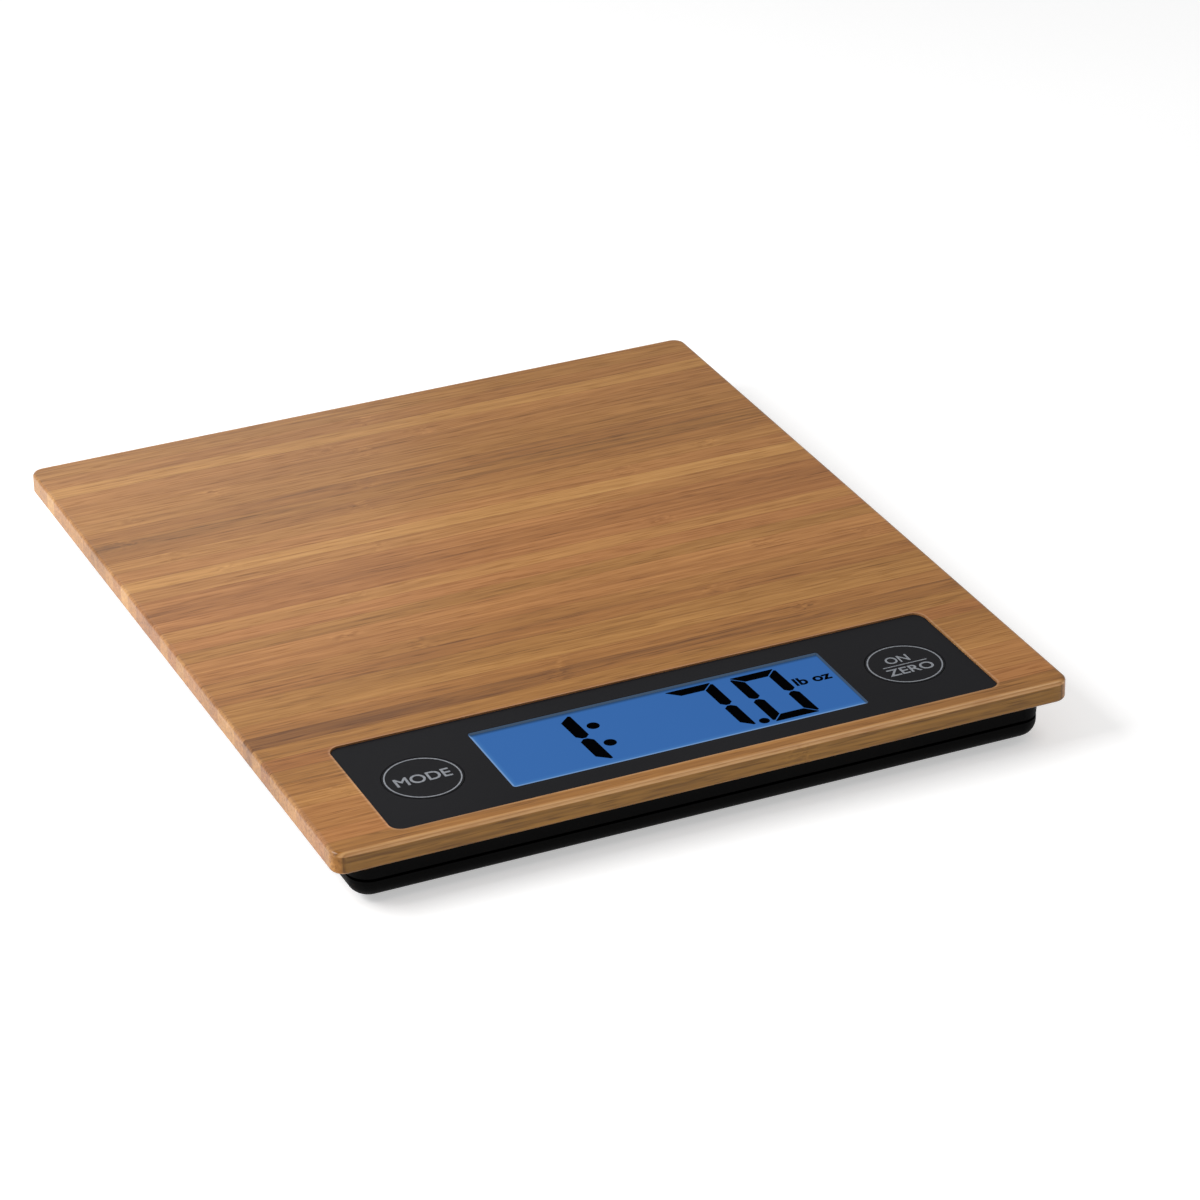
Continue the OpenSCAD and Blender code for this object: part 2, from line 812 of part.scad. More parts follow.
module gauge_sealant() {
    sealant_width = beam_width - 2;
    color("#eeeeea")
        difference() {
            for (bottom = [beam_top, beam_bottom - sealant_thickness])
                translate([-sealant_width / 2, -sealant_length / 2, bottom])
                    cube([sealant_width, sealant_length, sealant_thickness]);
            gauge_blocks();
        }
}

module upper_cell_bolts() {
    color(bright_steel)
        at_bolts(1)
            translate([0, 0, platform_bottom - bolt_sink])
                driven_bolt(roof_thickness + plate_thickness + bolt_bite);
}

module lower_cell_bolts() {
    color(bright_steel)
        at_bolts(-1)
            translate([0, 0, tray_bottom + bolt_sink]) mirror([0, 0, 1])
                driven_bolt(floor_thickness + plate_thickness + bolt_bite);
}

module sensor_ribbon() {
    color("#8a8f96")
        ribbon([socket_y, socket_entry], [-sealant_length / 2, beam_top], sensor_ribbon_width);
}

// ---------------------------------------------------------------- lower tray

module foot_places() {
    at_corners(housing_width / 2 - foot_inset, housing_depth / 2 - foot_inset) children();
}

module tray_ribs() {
    difference() {
        translate([0, 0, floor_top - bury]) rib_grid(tray_rib_height + bury);
        rib_keepout(floor_top - cut, tray_rib_height + 2 * cut);
        translate([cell_x - bay_side - bay_wall / 2, bay_front - bay_wall / 2, floor_top - cut])
            cube([2 * bay_side + bay_wall, bay_back - bay_front + bay_wall, tray_rib_height + 2 * cut]);
    }
}

// Box over the coin cell, with the ring that centres it
module battery_bay() {
    translate([cell_x - bay_side - bay_wall, bay_front - bay_wall, floor_top - bury])
        difference() {
            cube([2 * (bay_side + bay_wall), bay_back - bay_front + 2 * bay_wall,
                  bay_roof_top - floor_top + bury]);
            translate([bay_wall, bay_wall, -cut])
                cube([2 * bay_side, bay_back - bay_front, bay_roof_bottom - floor_top + bury + cut]);
        }
    ring_inner = cell_diameter / 2 + running_gap;
    ring_height = bay_roof_bottom - cell_bottom;
    translate([cell_x, cell_y, cell_bottom])
        difference() {
            translate([0, 0, ring_lift])
                cylinder(r = ring_inner + bay_wall, h = ring_height - ring_lift + bury);
            cylinder(r = ring_inner, h = ring_height);
            translate([ring_inner - bay_wall, -ring_gap_width / 2])
                cube([3 * bay_wall, ring_gap_width, ring_height]);
            translate([-ring_gap_width / 2, -ring_inner - 2 * bay_wall])
                cube([ring_gap_width, 3 * bay_wall, ring_height]);
        }
}

module base_tray() {
    color(black_plastic)
        difference() {
            union() {
                difference() {
                    translate([0, 0, tray_bottom])
                        sectioned_slab(rim_width, rim_depth, rim_corner, tray_height)
                            rim_section(rim_corner, tray_height, 0, tray_rounding);
                    translate([0, 0, floor_top])
                        rounded_plate(inner_width, inner_depth, inner_corner, tray_height);
                }
                difference() {
                    translate([0, 0, tray_top - cut])
                        rounded_plate(inner_width + 2 * lip_thickness, inner_depth + 2 * lip_thickness,
                                      inner_corner + lip_thickness, lip_height + cut);
                    translate([0, 0, tray_top - 2 * cut])
                        rounded_plate(inner_width, inner_depth, inner_corner, lip_height + 3 * cut);
                }
                tray_ribs();
                battery_bay();
                foot_places()
                    translate([0, 0, floor_top - bury])
                        cylinder(d = foot_diameter + 2 * boss_wall, h = foot_seat + bury);
                at_corners(housing_width / 2 - stop_inset, housing_depth / 2 - stop_inset)
                    translate([0, 0, floor_top - bury])
                        cylinder(r = stop_radius, h = stop_top - floor_top + bury);
                at_corners(plate_width / 2 - stake_inset, plate_length / 2 - stake_inset) {
                    translate([0, 0, floor_top - bury])
                        cylinder(r = stake_radius, h = plate_thickness + 2 * bury);
                    translate([0, 0, beam_bottom]) cylinder(r = stake_head[0], h = stake_head[1]);
                }
            }
            foot_places()
                translate([0, 0, tray_bottom - cut]) cylinder(d = foot_diameter, h = foot_seat + cut);
            at_bolts(-1)
                translate([0, 0, tray_bottom + bolt_sink]) mirror([0, 0, 1]) {
                    flat_bolt(floor_thickness + cut, screw_gap);
                    cylinder(r = bolt_head_radius + screw_gap, h = cut);
                }
            translate([cell_x - bay_side, bay_front, tray_bottom - cut])
                cube([2 * bay_side, bay_back - bay_front, floor_thickness + 2 * cut]);
            translate([cell_x - bay_side - pin_length, hinge_y, hinge_z]) rotate([0, 90, 0])
                cylinder(r = pin_diameter / 2 + pin_gap, h = 2 * (bay_side + pin_length));
            translate([cell_x, cell_y - spring_reach + tag_width / 2, bay_roof_bottom])
                cube([tag_slot[0], tag_slot[1], 2 * (bay_roof_thickness + cut)], center = true);
            translate([cell_x + can_contact_x + contact_strip_thickness / 2, cell_y, bay_roof_bottom])
                cube([tag_slot[1], tag_slot[0], 2 * (bay_roof_thickness + cut)], center = true);
            translate([cell_x, bay_front, bead_z]) rotate([0, 90, 0])
                cylinder(r = bead_radius, h = latch_width + 2 * running_gap, center = true);
        }
}

// Rubber foot with a rounded edge and a ring groove in its sole
module foot(side, end) {
    sole_round = 0.6;
    groove_width = 1.2;
    color("#2b2b2d")
        translate([side * (housing_width / 2 - foot_inset), end * (housing_depth / 2 - foot_inset)])
            rotate_extrude()
                difference() {
                    square([foot_diameter / 2, foot_height + foot_seat]);
                    translate([foot_diameter / 2 - sole_round, sole_round])
                        mirror([0, 1]) edge_cutter(sole_round);
                    translate([foot_diameter / 4, -cut]) square([groove_width, foot_groove + cut]);
                }
}

module front_left_foot() { foot(-1, -1); }
module front_right_foot() { foot(1, -1); }
module back_left_foot() { foot(-1, 1); }
module back_right_foot() { foot(1, 1); }

// ---------------------------------------------------------------- battery

module coin_cell() {
    cap_step = 0.3;
    color("#d2d3d5")
        translate([cell_x, cell_y, cell_bottom]) {
            cylinder(d = cell_diameter, h = cell_height - cap_step);
            cylinder(d = cell_diameter - 2.4, h = cell_height);
        }
}

// Leaf spring from the bay's roof down to the cell's cap, with a tag up through the roof
module negative_contact() {
    leaf = contact_strip_thickness;
    tip = cell_top + spring_room / 2;
    color("#c7b27a")
        translate([cell_x, cell_y, 0])
            rotate([90, 0, 90])
                linear_extrude(spring_width, center = true)
                    polygon([[-spring_reach, bay_roof_bottom - leaf], [-spring_bend, bay_roof_bottom - leaf],
                             [-spring_pad, cell_top], [spring_pad, cell_top], [spring_bend, tip],
                             [spring_bend, tip + leaf], [spring_pad, cell_top + leaf],
                             [-spring_pad, cell_top + leaf], [-spring_bend, bay_roof_bottom],
                             [tag_width - spring_reach, bay_roof_bottom],
                             [tag_width - spring_reach, bay_roof_top], [-spring_reach, bay_roof_top]]);
}

// Upright strip beside the cell's can, with a tag up through the roof
module positive_contact() {
    color("#c7b27a")
        translate([cell_x + can_contact_x, cell_y, cell_bottom + spring_room]) {
            translate([0, -can_contact_width / 2])
                cube([contact_strip_thickness, can_contact_width,
                      bay_roof_bottom - cell_bottom - spring_room]);
            translate([0, -can_tag_width / 2])
                cube([contact_strip_thickness, can_tag_width, bay_roof_top - cell_bottom - spring_room]);
        }
}

module battery_ribbon() {
    color("#a33a32")
        translate([cell_x, 0, 0])
            ribbon([socket_y, socket_entry], [cell_y + tag_width - spring_reach, bay_roof_top],
                   battery_ribbon_width);
}

// Hinged door with a snap latch at its free edge and a finger grip in its outer face
module battery_door() {
    latch_y = door_front + latch_room;
    slit_reach = latch_width / 2 + latch_slit / 2;
    color(black_plastic) {
        difference() {
            translate([cell_x - door_width / 2, door_front, tray_bottom])
                cube([door_width, hinge_y - door_front, floor_thickness]);
            for (side = [-1, 1])
                translate([cell_x + side * slit_reach - latch_slit / 2, door_front - cut, tray_bottom - cut])
                    cube([latch_slit, latch_slit_length + cut, floor_thickness + 2 * cut]);
            for (place = [1 : grip_count])
                translate([cell_x, door_front + latch_slit_length + place * grip_pitch, tray_bottom])
                    rotate([0, 90, 0]) cylinder(r = grip_radius, h = grip_width, center = true);
        }
        translate([cell_x - latch_width / 2, latch_y, floor_top - bury])
            cube([latch_width, latch_leg, latch_height + bury]);
        translate([cell_x, latch_y, bead_z]) rotate([0, 90, 0])
            cylinder(r = bead_radius, h = latch_width, center = true);
        translate([cell_x - door_width / 2, hinge_y, hinge_z]) rotate([0, 90, 0])
            cylinder(r = knuckle_radius, h = door_width);
        translate([cell_x - door_width / 2 - pin_length, hinge_y, hinge_z]) rotate([0, 90, 0])
            cylinder(r = pin_diameter / 2, h = door_width + 2 * pin_length);
    }
}

// ---------------------------------------------------------------- the whole scale

bamboo_platform();
display_panel();
unit_key();
tare_key();
unit_switch_plunger();
tare_switch_plunger();
unit_switch_body();
tare_switch_body();
front_polariser();
front_glass();
rear_glass();
rear_polariser();
light_guide();
reflector_sheet();
backlight_lamps();
display_frame();
front_contact_strip();
rear_contact_strip();
circuit_board();
circuit_chips();
cable_sockets();
board_screws();
upper_shell();
platform_screws();
upper_support_plate();
upper_cell_bolts();
load_cell();
strain_gauges();
gauge_sealant();
sensor_ribbon();
lower_support_plate();
lower_cell_bolts();
base_tray();
coin_cell();
negative_contact();
positive_contact();
battery_ribbon();
battery_door();
front_left_foot();
front_right_foot();
back_left_foot();
back_right_foot();
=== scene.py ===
"""Looks of a slim digital kitchen scale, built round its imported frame.

Metres, in the frame's own axes: +X is right, +Y is back and +Z is up. The origin is on the table, under
the middle of the scale. The display and its keys are at the front.
"""

import logging
import math
from collections.abc import Callable
from dataclasses import dataclass, field
from enum import Enum
from functools import partial
from typing import Any

import bmesh
import bpy
from mathutils import Matrix, Vector


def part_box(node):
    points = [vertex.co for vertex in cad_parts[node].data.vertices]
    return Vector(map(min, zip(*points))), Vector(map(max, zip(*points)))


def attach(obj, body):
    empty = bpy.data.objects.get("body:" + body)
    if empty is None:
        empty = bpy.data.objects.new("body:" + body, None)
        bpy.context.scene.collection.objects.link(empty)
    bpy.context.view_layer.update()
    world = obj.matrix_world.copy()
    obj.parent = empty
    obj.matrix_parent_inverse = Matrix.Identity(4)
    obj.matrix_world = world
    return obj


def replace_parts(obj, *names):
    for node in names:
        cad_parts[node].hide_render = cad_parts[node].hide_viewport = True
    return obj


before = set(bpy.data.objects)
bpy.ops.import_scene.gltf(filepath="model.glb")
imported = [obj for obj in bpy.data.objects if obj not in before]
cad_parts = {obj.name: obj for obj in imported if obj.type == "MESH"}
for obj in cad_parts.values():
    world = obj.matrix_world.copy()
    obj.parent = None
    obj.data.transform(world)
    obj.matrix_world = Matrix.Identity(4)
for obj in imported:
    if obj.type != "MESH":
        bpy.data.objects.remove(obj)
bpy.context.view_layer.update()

LOG = logging.getLogger("kitchen_scale")
MM = 0.001
INK = 0.03 * MM

Colour = tuple[float, float, float, float]
Triple = tuple[float, float, float]
Pair = tuple[float, float]
Piece = bpy.types.Object
Node = bpy.types.Node
Socket = bpy.types.NodeSocket
NodeMaker = Callable[..., Node]
Inputs = dict[str, Any] | tuple[Any, ...]


# ---------------------------------------------------------------- colours, nodes and meshes


def linear(colour: str) -> Colour:
    """Turn an sRGB hex colour to linear.

    Args:
        colour: Six hex digits after a hash.

    Returns:
        Red, green and blue in linear light, and full opacity.
    """
    channels = [int(colour[start:start + 2], 16) / 255 for start in (1, 3, 5)]
    bright = [c / 12.92 if c <= 0.04045 else ((c + 0.055) / 1.055) ** 2.4 for c in channels]
    return (*bright, 1.0)


def feed(node: Node, inputs: Inputs) -> None:
    """Set a node's inputs, or link them to what they come from.

    Args:
        node: The node.
        inputs: Value, hex colour, node or socket for each input, by its name among those in use, or in
            the node's own order.
    """
    for key, source in inputs.items() if isinstance(inputs, dict) else enumerate(inputs):
        in_use = (each for each in node.inputs if each.enabled and each.name == key)
        socket = node.inputs[key] if isinstance(key, int) else next(in_use)
        if isinstance(source, Node):
            source = next(output for output in source.outputs if output.enabled)
        if isinstance(source, Socket):
            node.id_data.links.new(source, socket)
        else:
            socket.default_value = linear(source) if isinstance(source, str) else source


def add_node(
    owner: bpy.types.Material | bpy.types.World, kind: str, inputs: Inputs = (), **settings: Any
) -> Node:
    """Add one node to a material or to the room's light.

    Args:
        owner: Material or world whose tree takes the node.
        kind: The node's type, without its usual prefix.
        inputs: What its inputs are fed.
        settings: What its attributes are set to.

    Returns:
        The new node.
    """
    node = owner.node_tree.nodes.new("ShaderNode" + kind)
    for name, value in settings.items():
        setattr(node, name, value)
    feed(node, inputs)
    return node


def pattern_space(node: NodeMaker, size_mm: Triple, centre_mm: Triple = (0, 0, 0)) -> Node:
    """Give a pattern its own coordinates, in which one unit is its real size.

    Args:
        node: Adds a node to the material.
        size_mm: Length of one unit along X, Y and Z.
        centre_mm: Where the pattern's origin lies.

    Returns:
        The node whose output is the pattern's coordinates.
    """
    return node("Mapping", {
        "Vector": node("TexCoord").outputs["Object"],
        "Location": [-centre / size for centre, size in zip(centre_mm, size_mm)],
        "Scale": [1 / (size * MM) for size in size_mm],
    })


class Element(Enum):
    """Part of a mesh that can be selected."""

    VERTEX = "VERT"
    EDGE = "EDGE"
    FACE = "FACE"


def select(element: Element, test: Callable[[Vector], bool]) -> None:
    """Select what passes a test, in the mesh being edited.

    Args:
        element: Kind of element to select.
        test: Takes an element's middle, in the mesh's own coordinates, and says whether to select it.
    """
    bpy.ops.mesh.select_mode(type=element.value)
    bpy.ops.mesh.select_all(action="DESELECT")
    mesh = bpy.context.edit_object.data
    edited = bmesh.from_edit_mesh(mesh)
    groups = {Element.VERTEX: edited.verts, Element.EDGE: edited.edges, Element.FACE: edited.faces}
    for item in groups[element]:
        corners = [item] if element is Element.VERTEX else list(item.verts)
        item.select_set(test(sum((corner.co for corner in corners), Vector()) / len(corners)))
    edited.select_flush_mode()
    bmesh.update_edit_mesh(mesh)


def named(name: str) -> Piece:
    """Name the active object and its data.

    Args:
        name: The piece's name.

    Returns:
        The active object.
    """
    piece = bpy.context.active_object
    piece.name = name
    piece.data.name = name
    return piece


def begin(primitive: Callable[..., Any], name: str, **sizes: Any) -> Piece:
    """Add a primitive and open it for shaping.

    Args:
        primitive: Operator that adds it.
        name: Name of the piece that it becomes.
        sizes: The operator's own settings.

    Returns:
        The new object, in edit mode.
    """
    bpy.ops.object.select_all(action="DESELECT")
    primitive(**sizes)
    piece = named(name)
    bpy.ops.object.transform_apply(location=False, rotation=True, scale=True)
    bpy.ops.object.mode_set(mode="EDIT")
    return piece


def block(name: str, middle: Vector, size: Vector) -> Piece:
    """Add a block of a size and open it for shaping."""
    return begin(bpy.ops.mesh.primitive_cube_add, name, size=1, scale=size, location=middle)


def raise_all(height: float) -> None:
    """Raise the flat mesh being edited to a height."""
    bpy.ops.mesh.select_all(action="SELECT")
    bpy.ops.mesh.extrude_region_move(TRANSFORM_OT_translate={"value": (0, 0, height)})


def bevel_where(test: Callable[[Vector], bool], width: float, segments: int = 1) -> None:
    """Bevel the edges whose middle passes a test."""
    select(Element.EDGE, test)
    bpy.ops.mesh.bevel(offset=width, segments=segments, affect="EDGES")


def move_where(test: Callable[[Vector], bool], way: Triple | Vector) -> None:
    """Move the corners that pass a test."""
    select(Element.VERTEX, test)
    bpy.ops.transform.translate(value=way)


def end(piece: Piece) -> Piece:
    """Close a piece that was being shaped, and put its place into its mesh.

    Args:
        piece: The piece, in edit mode.

    Returns:
        The same piece.
    """
    bpy.ops.mesh.select_all(action="SELECT")
    bpy.ops.mesh.remove_doubles(threshold=1e-7)
    bpy.ops.mesh.normals_make_consistent(inside=False)
    bpy.ops.object.mode_set(mode="OBJECT")
    bpy.ops.object.transform_apply(location=True, rotation=True, scale=True)
    return piece


def merge(name: str, pieces: list[Piece]) -> Piece:
    """Join pieces of one make into one.

    Args:
        name: Name of the joined piece.
        pieces: What to join, each finished.

    Returns:
        The joined piece.
    """
    bpy.ops.object.select_all(action="DESELECT")
    for piece in pieces:
        piece.select_set(True)
    bpy.context.view_layer.objects.active = pieces[0]
    bpy.ops.object.join()
    return named(name)


def copied(piece: Piece, name: str, step: Vector) -> Piece:
    """Copy a finished piece, with its own mesh.

    Args:
        piece: The piece.
        name: Name of the copy.
        step: From the piece to its copy.

    Returns:
        The copy.
    """
    twin = piece.copy()
    twin.data = piece.data.copy()
    twin.name = twin.data.name = name
    twin.data.transform(Matrix.Translation(step))
    bpy.context.collection.objects.link(twin)
    return twin


def shape_with(piece: Piece, kind: str, **settings: Any) -> None:
    """Shape a piece with a modifier, and apply it.

    Args:
        piece: The piece.
        kind: The modifier's type.
        settings: What its attributes are set to.
    """
    bpy.ops.object.select_all(action="DESELECT")
    bpy.context.view_layer.objects.active = piece
    modifier = piece.modifiers.new(kind.lower(), kind)
    for key, value in settings.items():
        setattr(modifier, key, value)
    bpy.ops.object.modifier_apply(modifier=modifier.name)


def up(height: float) -> Vector:
    """Return a step straight up."""
    return Vector((0, 0, height))


def over(node: str, height: float) -> Vector:
    """Return the point over the middle of a CAD node, at a height."""
    low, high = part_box(node)
    return Vector(((low.x + high.x) / 2, (low.y + high.y) / 2, height))


# ---------------------------------------------------------------- finishes


@dataclass(frozen=True)
class Finish:
    """What a surface is made of, and how it was made.

    Attributes:
        name: The finish in a maker's words.
        colour: Its main colour.
        roughness: Its mean roughness.
        ior: Its index of refraction.
    """

    name: str
    colour: str
    roughness: float
    ior: float = 1.5

    def material(self) -> bpy.types.Material:
        """Make the finish's material, the first time.

        Returns:
            The material.
        """
        made = bpy.data.materials.get(self.name)
        if made:
            return made
        made = bpy.data.materials.new(self.name)
        made.use_nodes = True
        shader = made.node_tree.nodes["Principled BSDF"]
        feed(shader, {"IOR": self.ior, "Roughness": self.roughness})
        self.draw(partial(add_node, made), shader)
        return made

    def draw(self, node: NodeMaker, shader: Node) -> None:
        """Add the finish's own pattern.

        Args:
            node: Adds a node to the material.
            shader: Its surface shader.
        """
        raise NotImplementedError


NOISE_SPAN = (0.3, 0.7)  # what a noise mostly keeps between
SOFT = {"interpolation_type": "SMOOTHSTEP"}  # a range with soft ends


@dataclass(frozen=True)
class LacqueredBamboo(Finish):
    """Bamboo strips glued side by side on edge, smoothed by sanding and sprayed with a satin lacquer.

    The joints show as straight lines along X and as upright blocks on the end grain. Within a strip the
    eye sees long soft streaks, short dark fibres and, now and then, the mottled mark of a knuckle. A painted
    highlight makes the top edges at the front and the back, and the rim of the pocket, paler and greyer.
    Painted shade makes the outer strips' broad sides darker and a little yellower, and the top edges at the
    ends a little darker and greyer. Painted light makes the end grain a little paler.

    Attributes:
        strip_mm: Width of one strip.
        first_joint_mm: Where one of the joints lies, along Y.
        joint_share: Share of half a strip at which its joint starts to show.
        joint_depth: How much darker a joint is, in the darkest veins.
        streak_mm: Length and width of a soft streak.
        vein_mm: Length and width of a vein.
        fibre_mm: Length and width of a dark fibre, drawn twice as wide as real so that it shows.
        drift_mm: Size of the board's slow drift in tone, along X, Y and Z.
        fade_mm: Length and width of the patches in which a dark strip fades.
        lean: How far a strip's fibres lean from its joint at most, for each unit of length.
        knuckle_spacing_mm: Distance between a strip's knuckles.
        knuckle_mm: Half of a knuckle's length.
        knuckle_faint: Strength of a knuckle that isn't one of the plain ones.
        knuckle_pull_mm: How far a knuckle pulls the fibres aside.
        swirl_mm: Size of the swirl in a knuckle, along X, Y and Z.
        knots_mm: Middle of each knuckle that is plainer than the rest.
        dark_strips: Number of each strip that is darker, from the first joint, and by how much.
        board_mm: Half of the board's width, half of its depth, and the height of its top.
        edge_mm: How far in from a side the painted highlight along the top edge at the front and the back,
            and the painted shade along the top edge at the ends, start to show, and show in full.
        edge_drop_mm: How far below the top that painted highlight and shade start to show, and show in full.
        side_shade_mm: How far in from the front or the back the painted shade on the outer strip's side
            starts to show, and is full.
        end_mm: How far in from an end the end grain starts to show, and shows in full.
        pocket_corner_mm: Corner radius of the pocket that holds the panel.
        pocket_highlight_mm: How far out from the pocket's wall its painted highlight starts to show, and
            shows in full.
        bundle_mm: Length and spacing of the fibre bundles in the end grain, drawn wider than real so that
            they show.
        tones: Colours of the wood, evenly spaced from dark to pale.
        gloss: Strength of the wood's own reflections, of which 0.5 is usual.
        coat: Weight and roughness of the lacquer.
        relief_mm: Height of the streaks over the fibres.
    """

    strip_mm: float = 5.6
    first_joint_mm: float = -54.4
    joint_share: float = 0.475
    joint_depth: float = 0.42
    streak_mm: Pair = (60, 1.25)
    vein_mm: Pair = (16, 0.7)
    fibre_mm: Pair = (9, 0.45)
    drift_mm: Triple = (110, 30, 30)
    fade_mm: Pair = (70, 3)
    lean: float = 0.02
    knuckle_spacing_mm: float = 300
    knuckle_mm: float = 7
    knuckle_faint: float = 0.6
    knuckle_pull_mm: float = 3.2
    swirl_mm: Triple = (3.4, 1.5, 1.5)
    knots_mm: tuple[Pair, ...] = ((-51, -13), (52, -46), (69, 41), (-80, 55), (-20, 84), (40, 8), (-64, 30))
    dark_strips: tuple[Pair, ...] = (
        (-9, 0.15), (-8, 0.12), (-7, 0.06), (0, 0.32), (2, 0.16), (3, 0.18), (5, 0.12), (6, 0.16),
        (8, 0.1), (13, 0.14), (17, 0.12), (19, 0.32),
    )
    board_mm: Triple = (90, 105, 16.4)
    edge_mm: Pair = (1.2, 0.6)
    edge_drop_mm: Pair = (1.1, 0.8)
    side_shade_mm: Pair = (0.5, 0.1)
    end_mm: Pair = (0.7, 0.3)
    pocket_corner_mm: float = 2.8
    pocket_highlight_mm: Pair = (0.8, 0.4)
    bundle_mm: Pair = (4, 1)
    tones: tuple[str, ...] = ("#4f2b0b", "#754616", "#9b6429", "#b97f41", "#d19b5b")
    gloss: float = 0.1
    coat: Pair = (0.38, 0.2)
    relief_mm: float = 0.012

    def knuckles(self, node: NodeMaker, along: Socket, phase: Socket) -> Node:
        """Draw the swirls that the knuckles leave in the fibres.

        Args:
            node: Adds a node to the material.
            along: Place along a strip, in millimetres.
            phase: Chance number of the strip, which moves its knuckles along it.

        Returns:
            How hard the fibres are pulled aside, either way.
        """
        turns = node("Math", (along, 1 / self.knuckle_spacing_mm, phase), operation="MULTIPLY_ADD")
        turn = node("Math", (turns,), operation="FRACT")
        near = node("Math", (turn, 0.5), operation="SUBTRACT")
        gap = node("Math", (near,), operation="ABSOLUTE")
        reach = self.knuckle_mm / self.knuckle_spacing_mm
        knuckle = node("MapRange", (gap, 0.0, reach, self.knuckle_faint, 0.0), **SOFT)
        board_middle, through, half_width = 16, 40, self.strip_mm * 0.62
        for x, y in self.knots_mm:
            strip = math.floor((y - self.first_joint_mm) / self.strip_mm) + 0.5
            centre = (x, strip * self.strip_mm + self.first_joint_mm, board_middle)
            space = pattern_space(node, (self.knuckle_mm, half_width, through), centre)
            far = node("VectorMath", (space,), operation="LENGTH")
            knot = node("MapRange", (far.outputs["Value"], 0.0, 1.0, 1.0, 0.0), **SOFT)
            knuckle = node("Math", (knuckle, knot), operation="MAXIMUM")
        swirl = node("TexNoise", {"Vector": pattern_space(node, self.swirl_mm), "Scale": 1.0,
                                  "Distortion": 0.6})
        swirled = node("Math", (swirl, 0.5), operation="SUBTRACT")
        return node("Math", (swirled, knuckle), operation="MULTIPLY")

    def painted_edge_masks(self, node: NodeMaker, place: Node) -> tuple[Node, Node, Node, Node]:
        """Draw the painted highlight and shade along the board's edges and sides, and the end grain.

        Args:
            node: Adds a node to the material.
            place: Place in the board, as three outputs in millimetres.

        Returns:
            The painted highlight along the top edges at the front and the back, the painted shade along
            those at the ends, the painted shade on the broad sides of the outer strips, and the end grain.
        """
        half_x, half_y, top = self.board_mm
        out_x, out_y = (node("Math", (place.outputs[axis],), operation="ABSOLUTE") for axis in "XY")
        upper, near_end, near_side, outer, ends = (
            node("MapRange", (source, limit - starts, limit - full))
            for source, limit, (starts, full) in (
                (place.outputs["Z"], top, self.edge_drop_mm), (out_x, half_x, self.edge_mm),
                (out_y, half_y, self.edge_mm), (out_y, half_y, self.side_shade_mm), (out_x, half_x, self.end_mm),
            )
        )
        lower = node("Math", (1.0, upper), operation="SUBTRACT")
        edge, end_edge_shade, side = (
            node("Math", pair, operation="MULTIPLY")
            for pair in ((near_side, upper), (near_end, upper), (outer, lower))
        )
        return edge, end_edge_shade, side, ends

    def painted_pocket_highlight(self, node: NodeMaker, place: Node) -> Node:
        """Draw the painted highlight, a paler rim, around the panel's pocket.

        Args:
            node: Adds a node to the material.
            place: Place in the board, as three outputs in millimetres.

        Returns:
            Strength of the painted highlight.
        """
        low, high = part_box("display_panel")
        centre, reach = (low + high) / 2 / MM, (high - low) / 2 / MM
        corner = self.pocket_corner_mm
        off = node("CombineXYZ", (place.outputs["X"], place.outputs["Y"]))
        for operation, amount in (
            ("SUBTRACT", (centre.x, centre.y, 0)), ("ABSOLUTE", None),
            ("SUBTRACT", (reach.x - corner, reach.y - corner, 0)), ("MAXIMUM", (0, 0, 0)), ("LENGTH", None),
        ):
            off = node("VectorMath", (off, amount) if amount else (off,), operation=operation)
        starts, full = self.pocket_highlight_mm
        return node("MapRange", (off.outputs["Value"], corner + starts, corner + full))

    def draw(self, node: NodeMaker, shader: Node) -> None:
        """Draw strips, streaks, fibres, knuckles and the lacquer over them.

        Args:
            node: Adds a node to the material.
            shader: Its surface shader.
        """
        place = node("SeparateXYZ", (pattern_space(node, (1, 1, 1)),))
        along, across, above = (place.outputs[axis] for axis in "XYZ")
        first = -self.first_joint_mm / self.strip_mm
        lane = node("Math", (across, 1 / self.strip_mm, first), operation="MULTIPLY_ADD")
        number = node("Math", (lane,), operation="FLOOR")
        inside = node("Math", (lane,), operation="FRACT")
        middle = node("Math", (inside, 0.5), operation="SUBTRACT")
        off_middle = node("Math", (middle,), operation="ABSOLUTE")
        chance = node("TexWhiteNoise", {"W": number}, noise_dimensions="1D")
        chances = node("SeparateColor", (chance.outputs["Color"],))
        tone, slant, phase = (chances.outputs[name] for name in ("Red", "Green", "Blue"))

        # the fibres of a strip lean a little from its joint, and swirl in a knuckle
        pull = self.knuckles(node, along, phase)
        lean = node("MapRange", (slant, 0.0, 1.0, -self.lean, self.lean))
        drifted = node("Math", (along, lean, across), operation="MULTIPLY_ADD")
        fibre_y = node("Math", (pull, self.knuckle_pull_mm, drifted), operation="MULTIPLY_ADD")
        strip_apart = 37.7
        own = node("Math", (number, strip_apart, above), operation="MULTIPLY_ADD")
        fibre_place = node("CombineXYZ", (along, fibre_y, own))
        streak, vein, fibres = (
            node("TexNoise", {"Scale": 1.0, "Detail": detail, "Vector": node("Mapping", {
                "Vector": fibre_place, "Scale": (1 / length, 1 / width, 1 / width)})})
            for (length, width), detail in ((self.streak_mm, 3.0), (self.vein_mm, 2.0), (self.fibre_mm, 1.0))
        )
        fibre = node("MapRange", (fibres, 0.54, 0.7), **SOFT)
        length, width = self.fade_mm
        drift, patches = (
            node("TexNoise", {"Scale": 1.0, "Detail": 1.0, "Vector": pattern_space(node, size)})
            for size in (self.drift_mm, (length, width, width))
        )

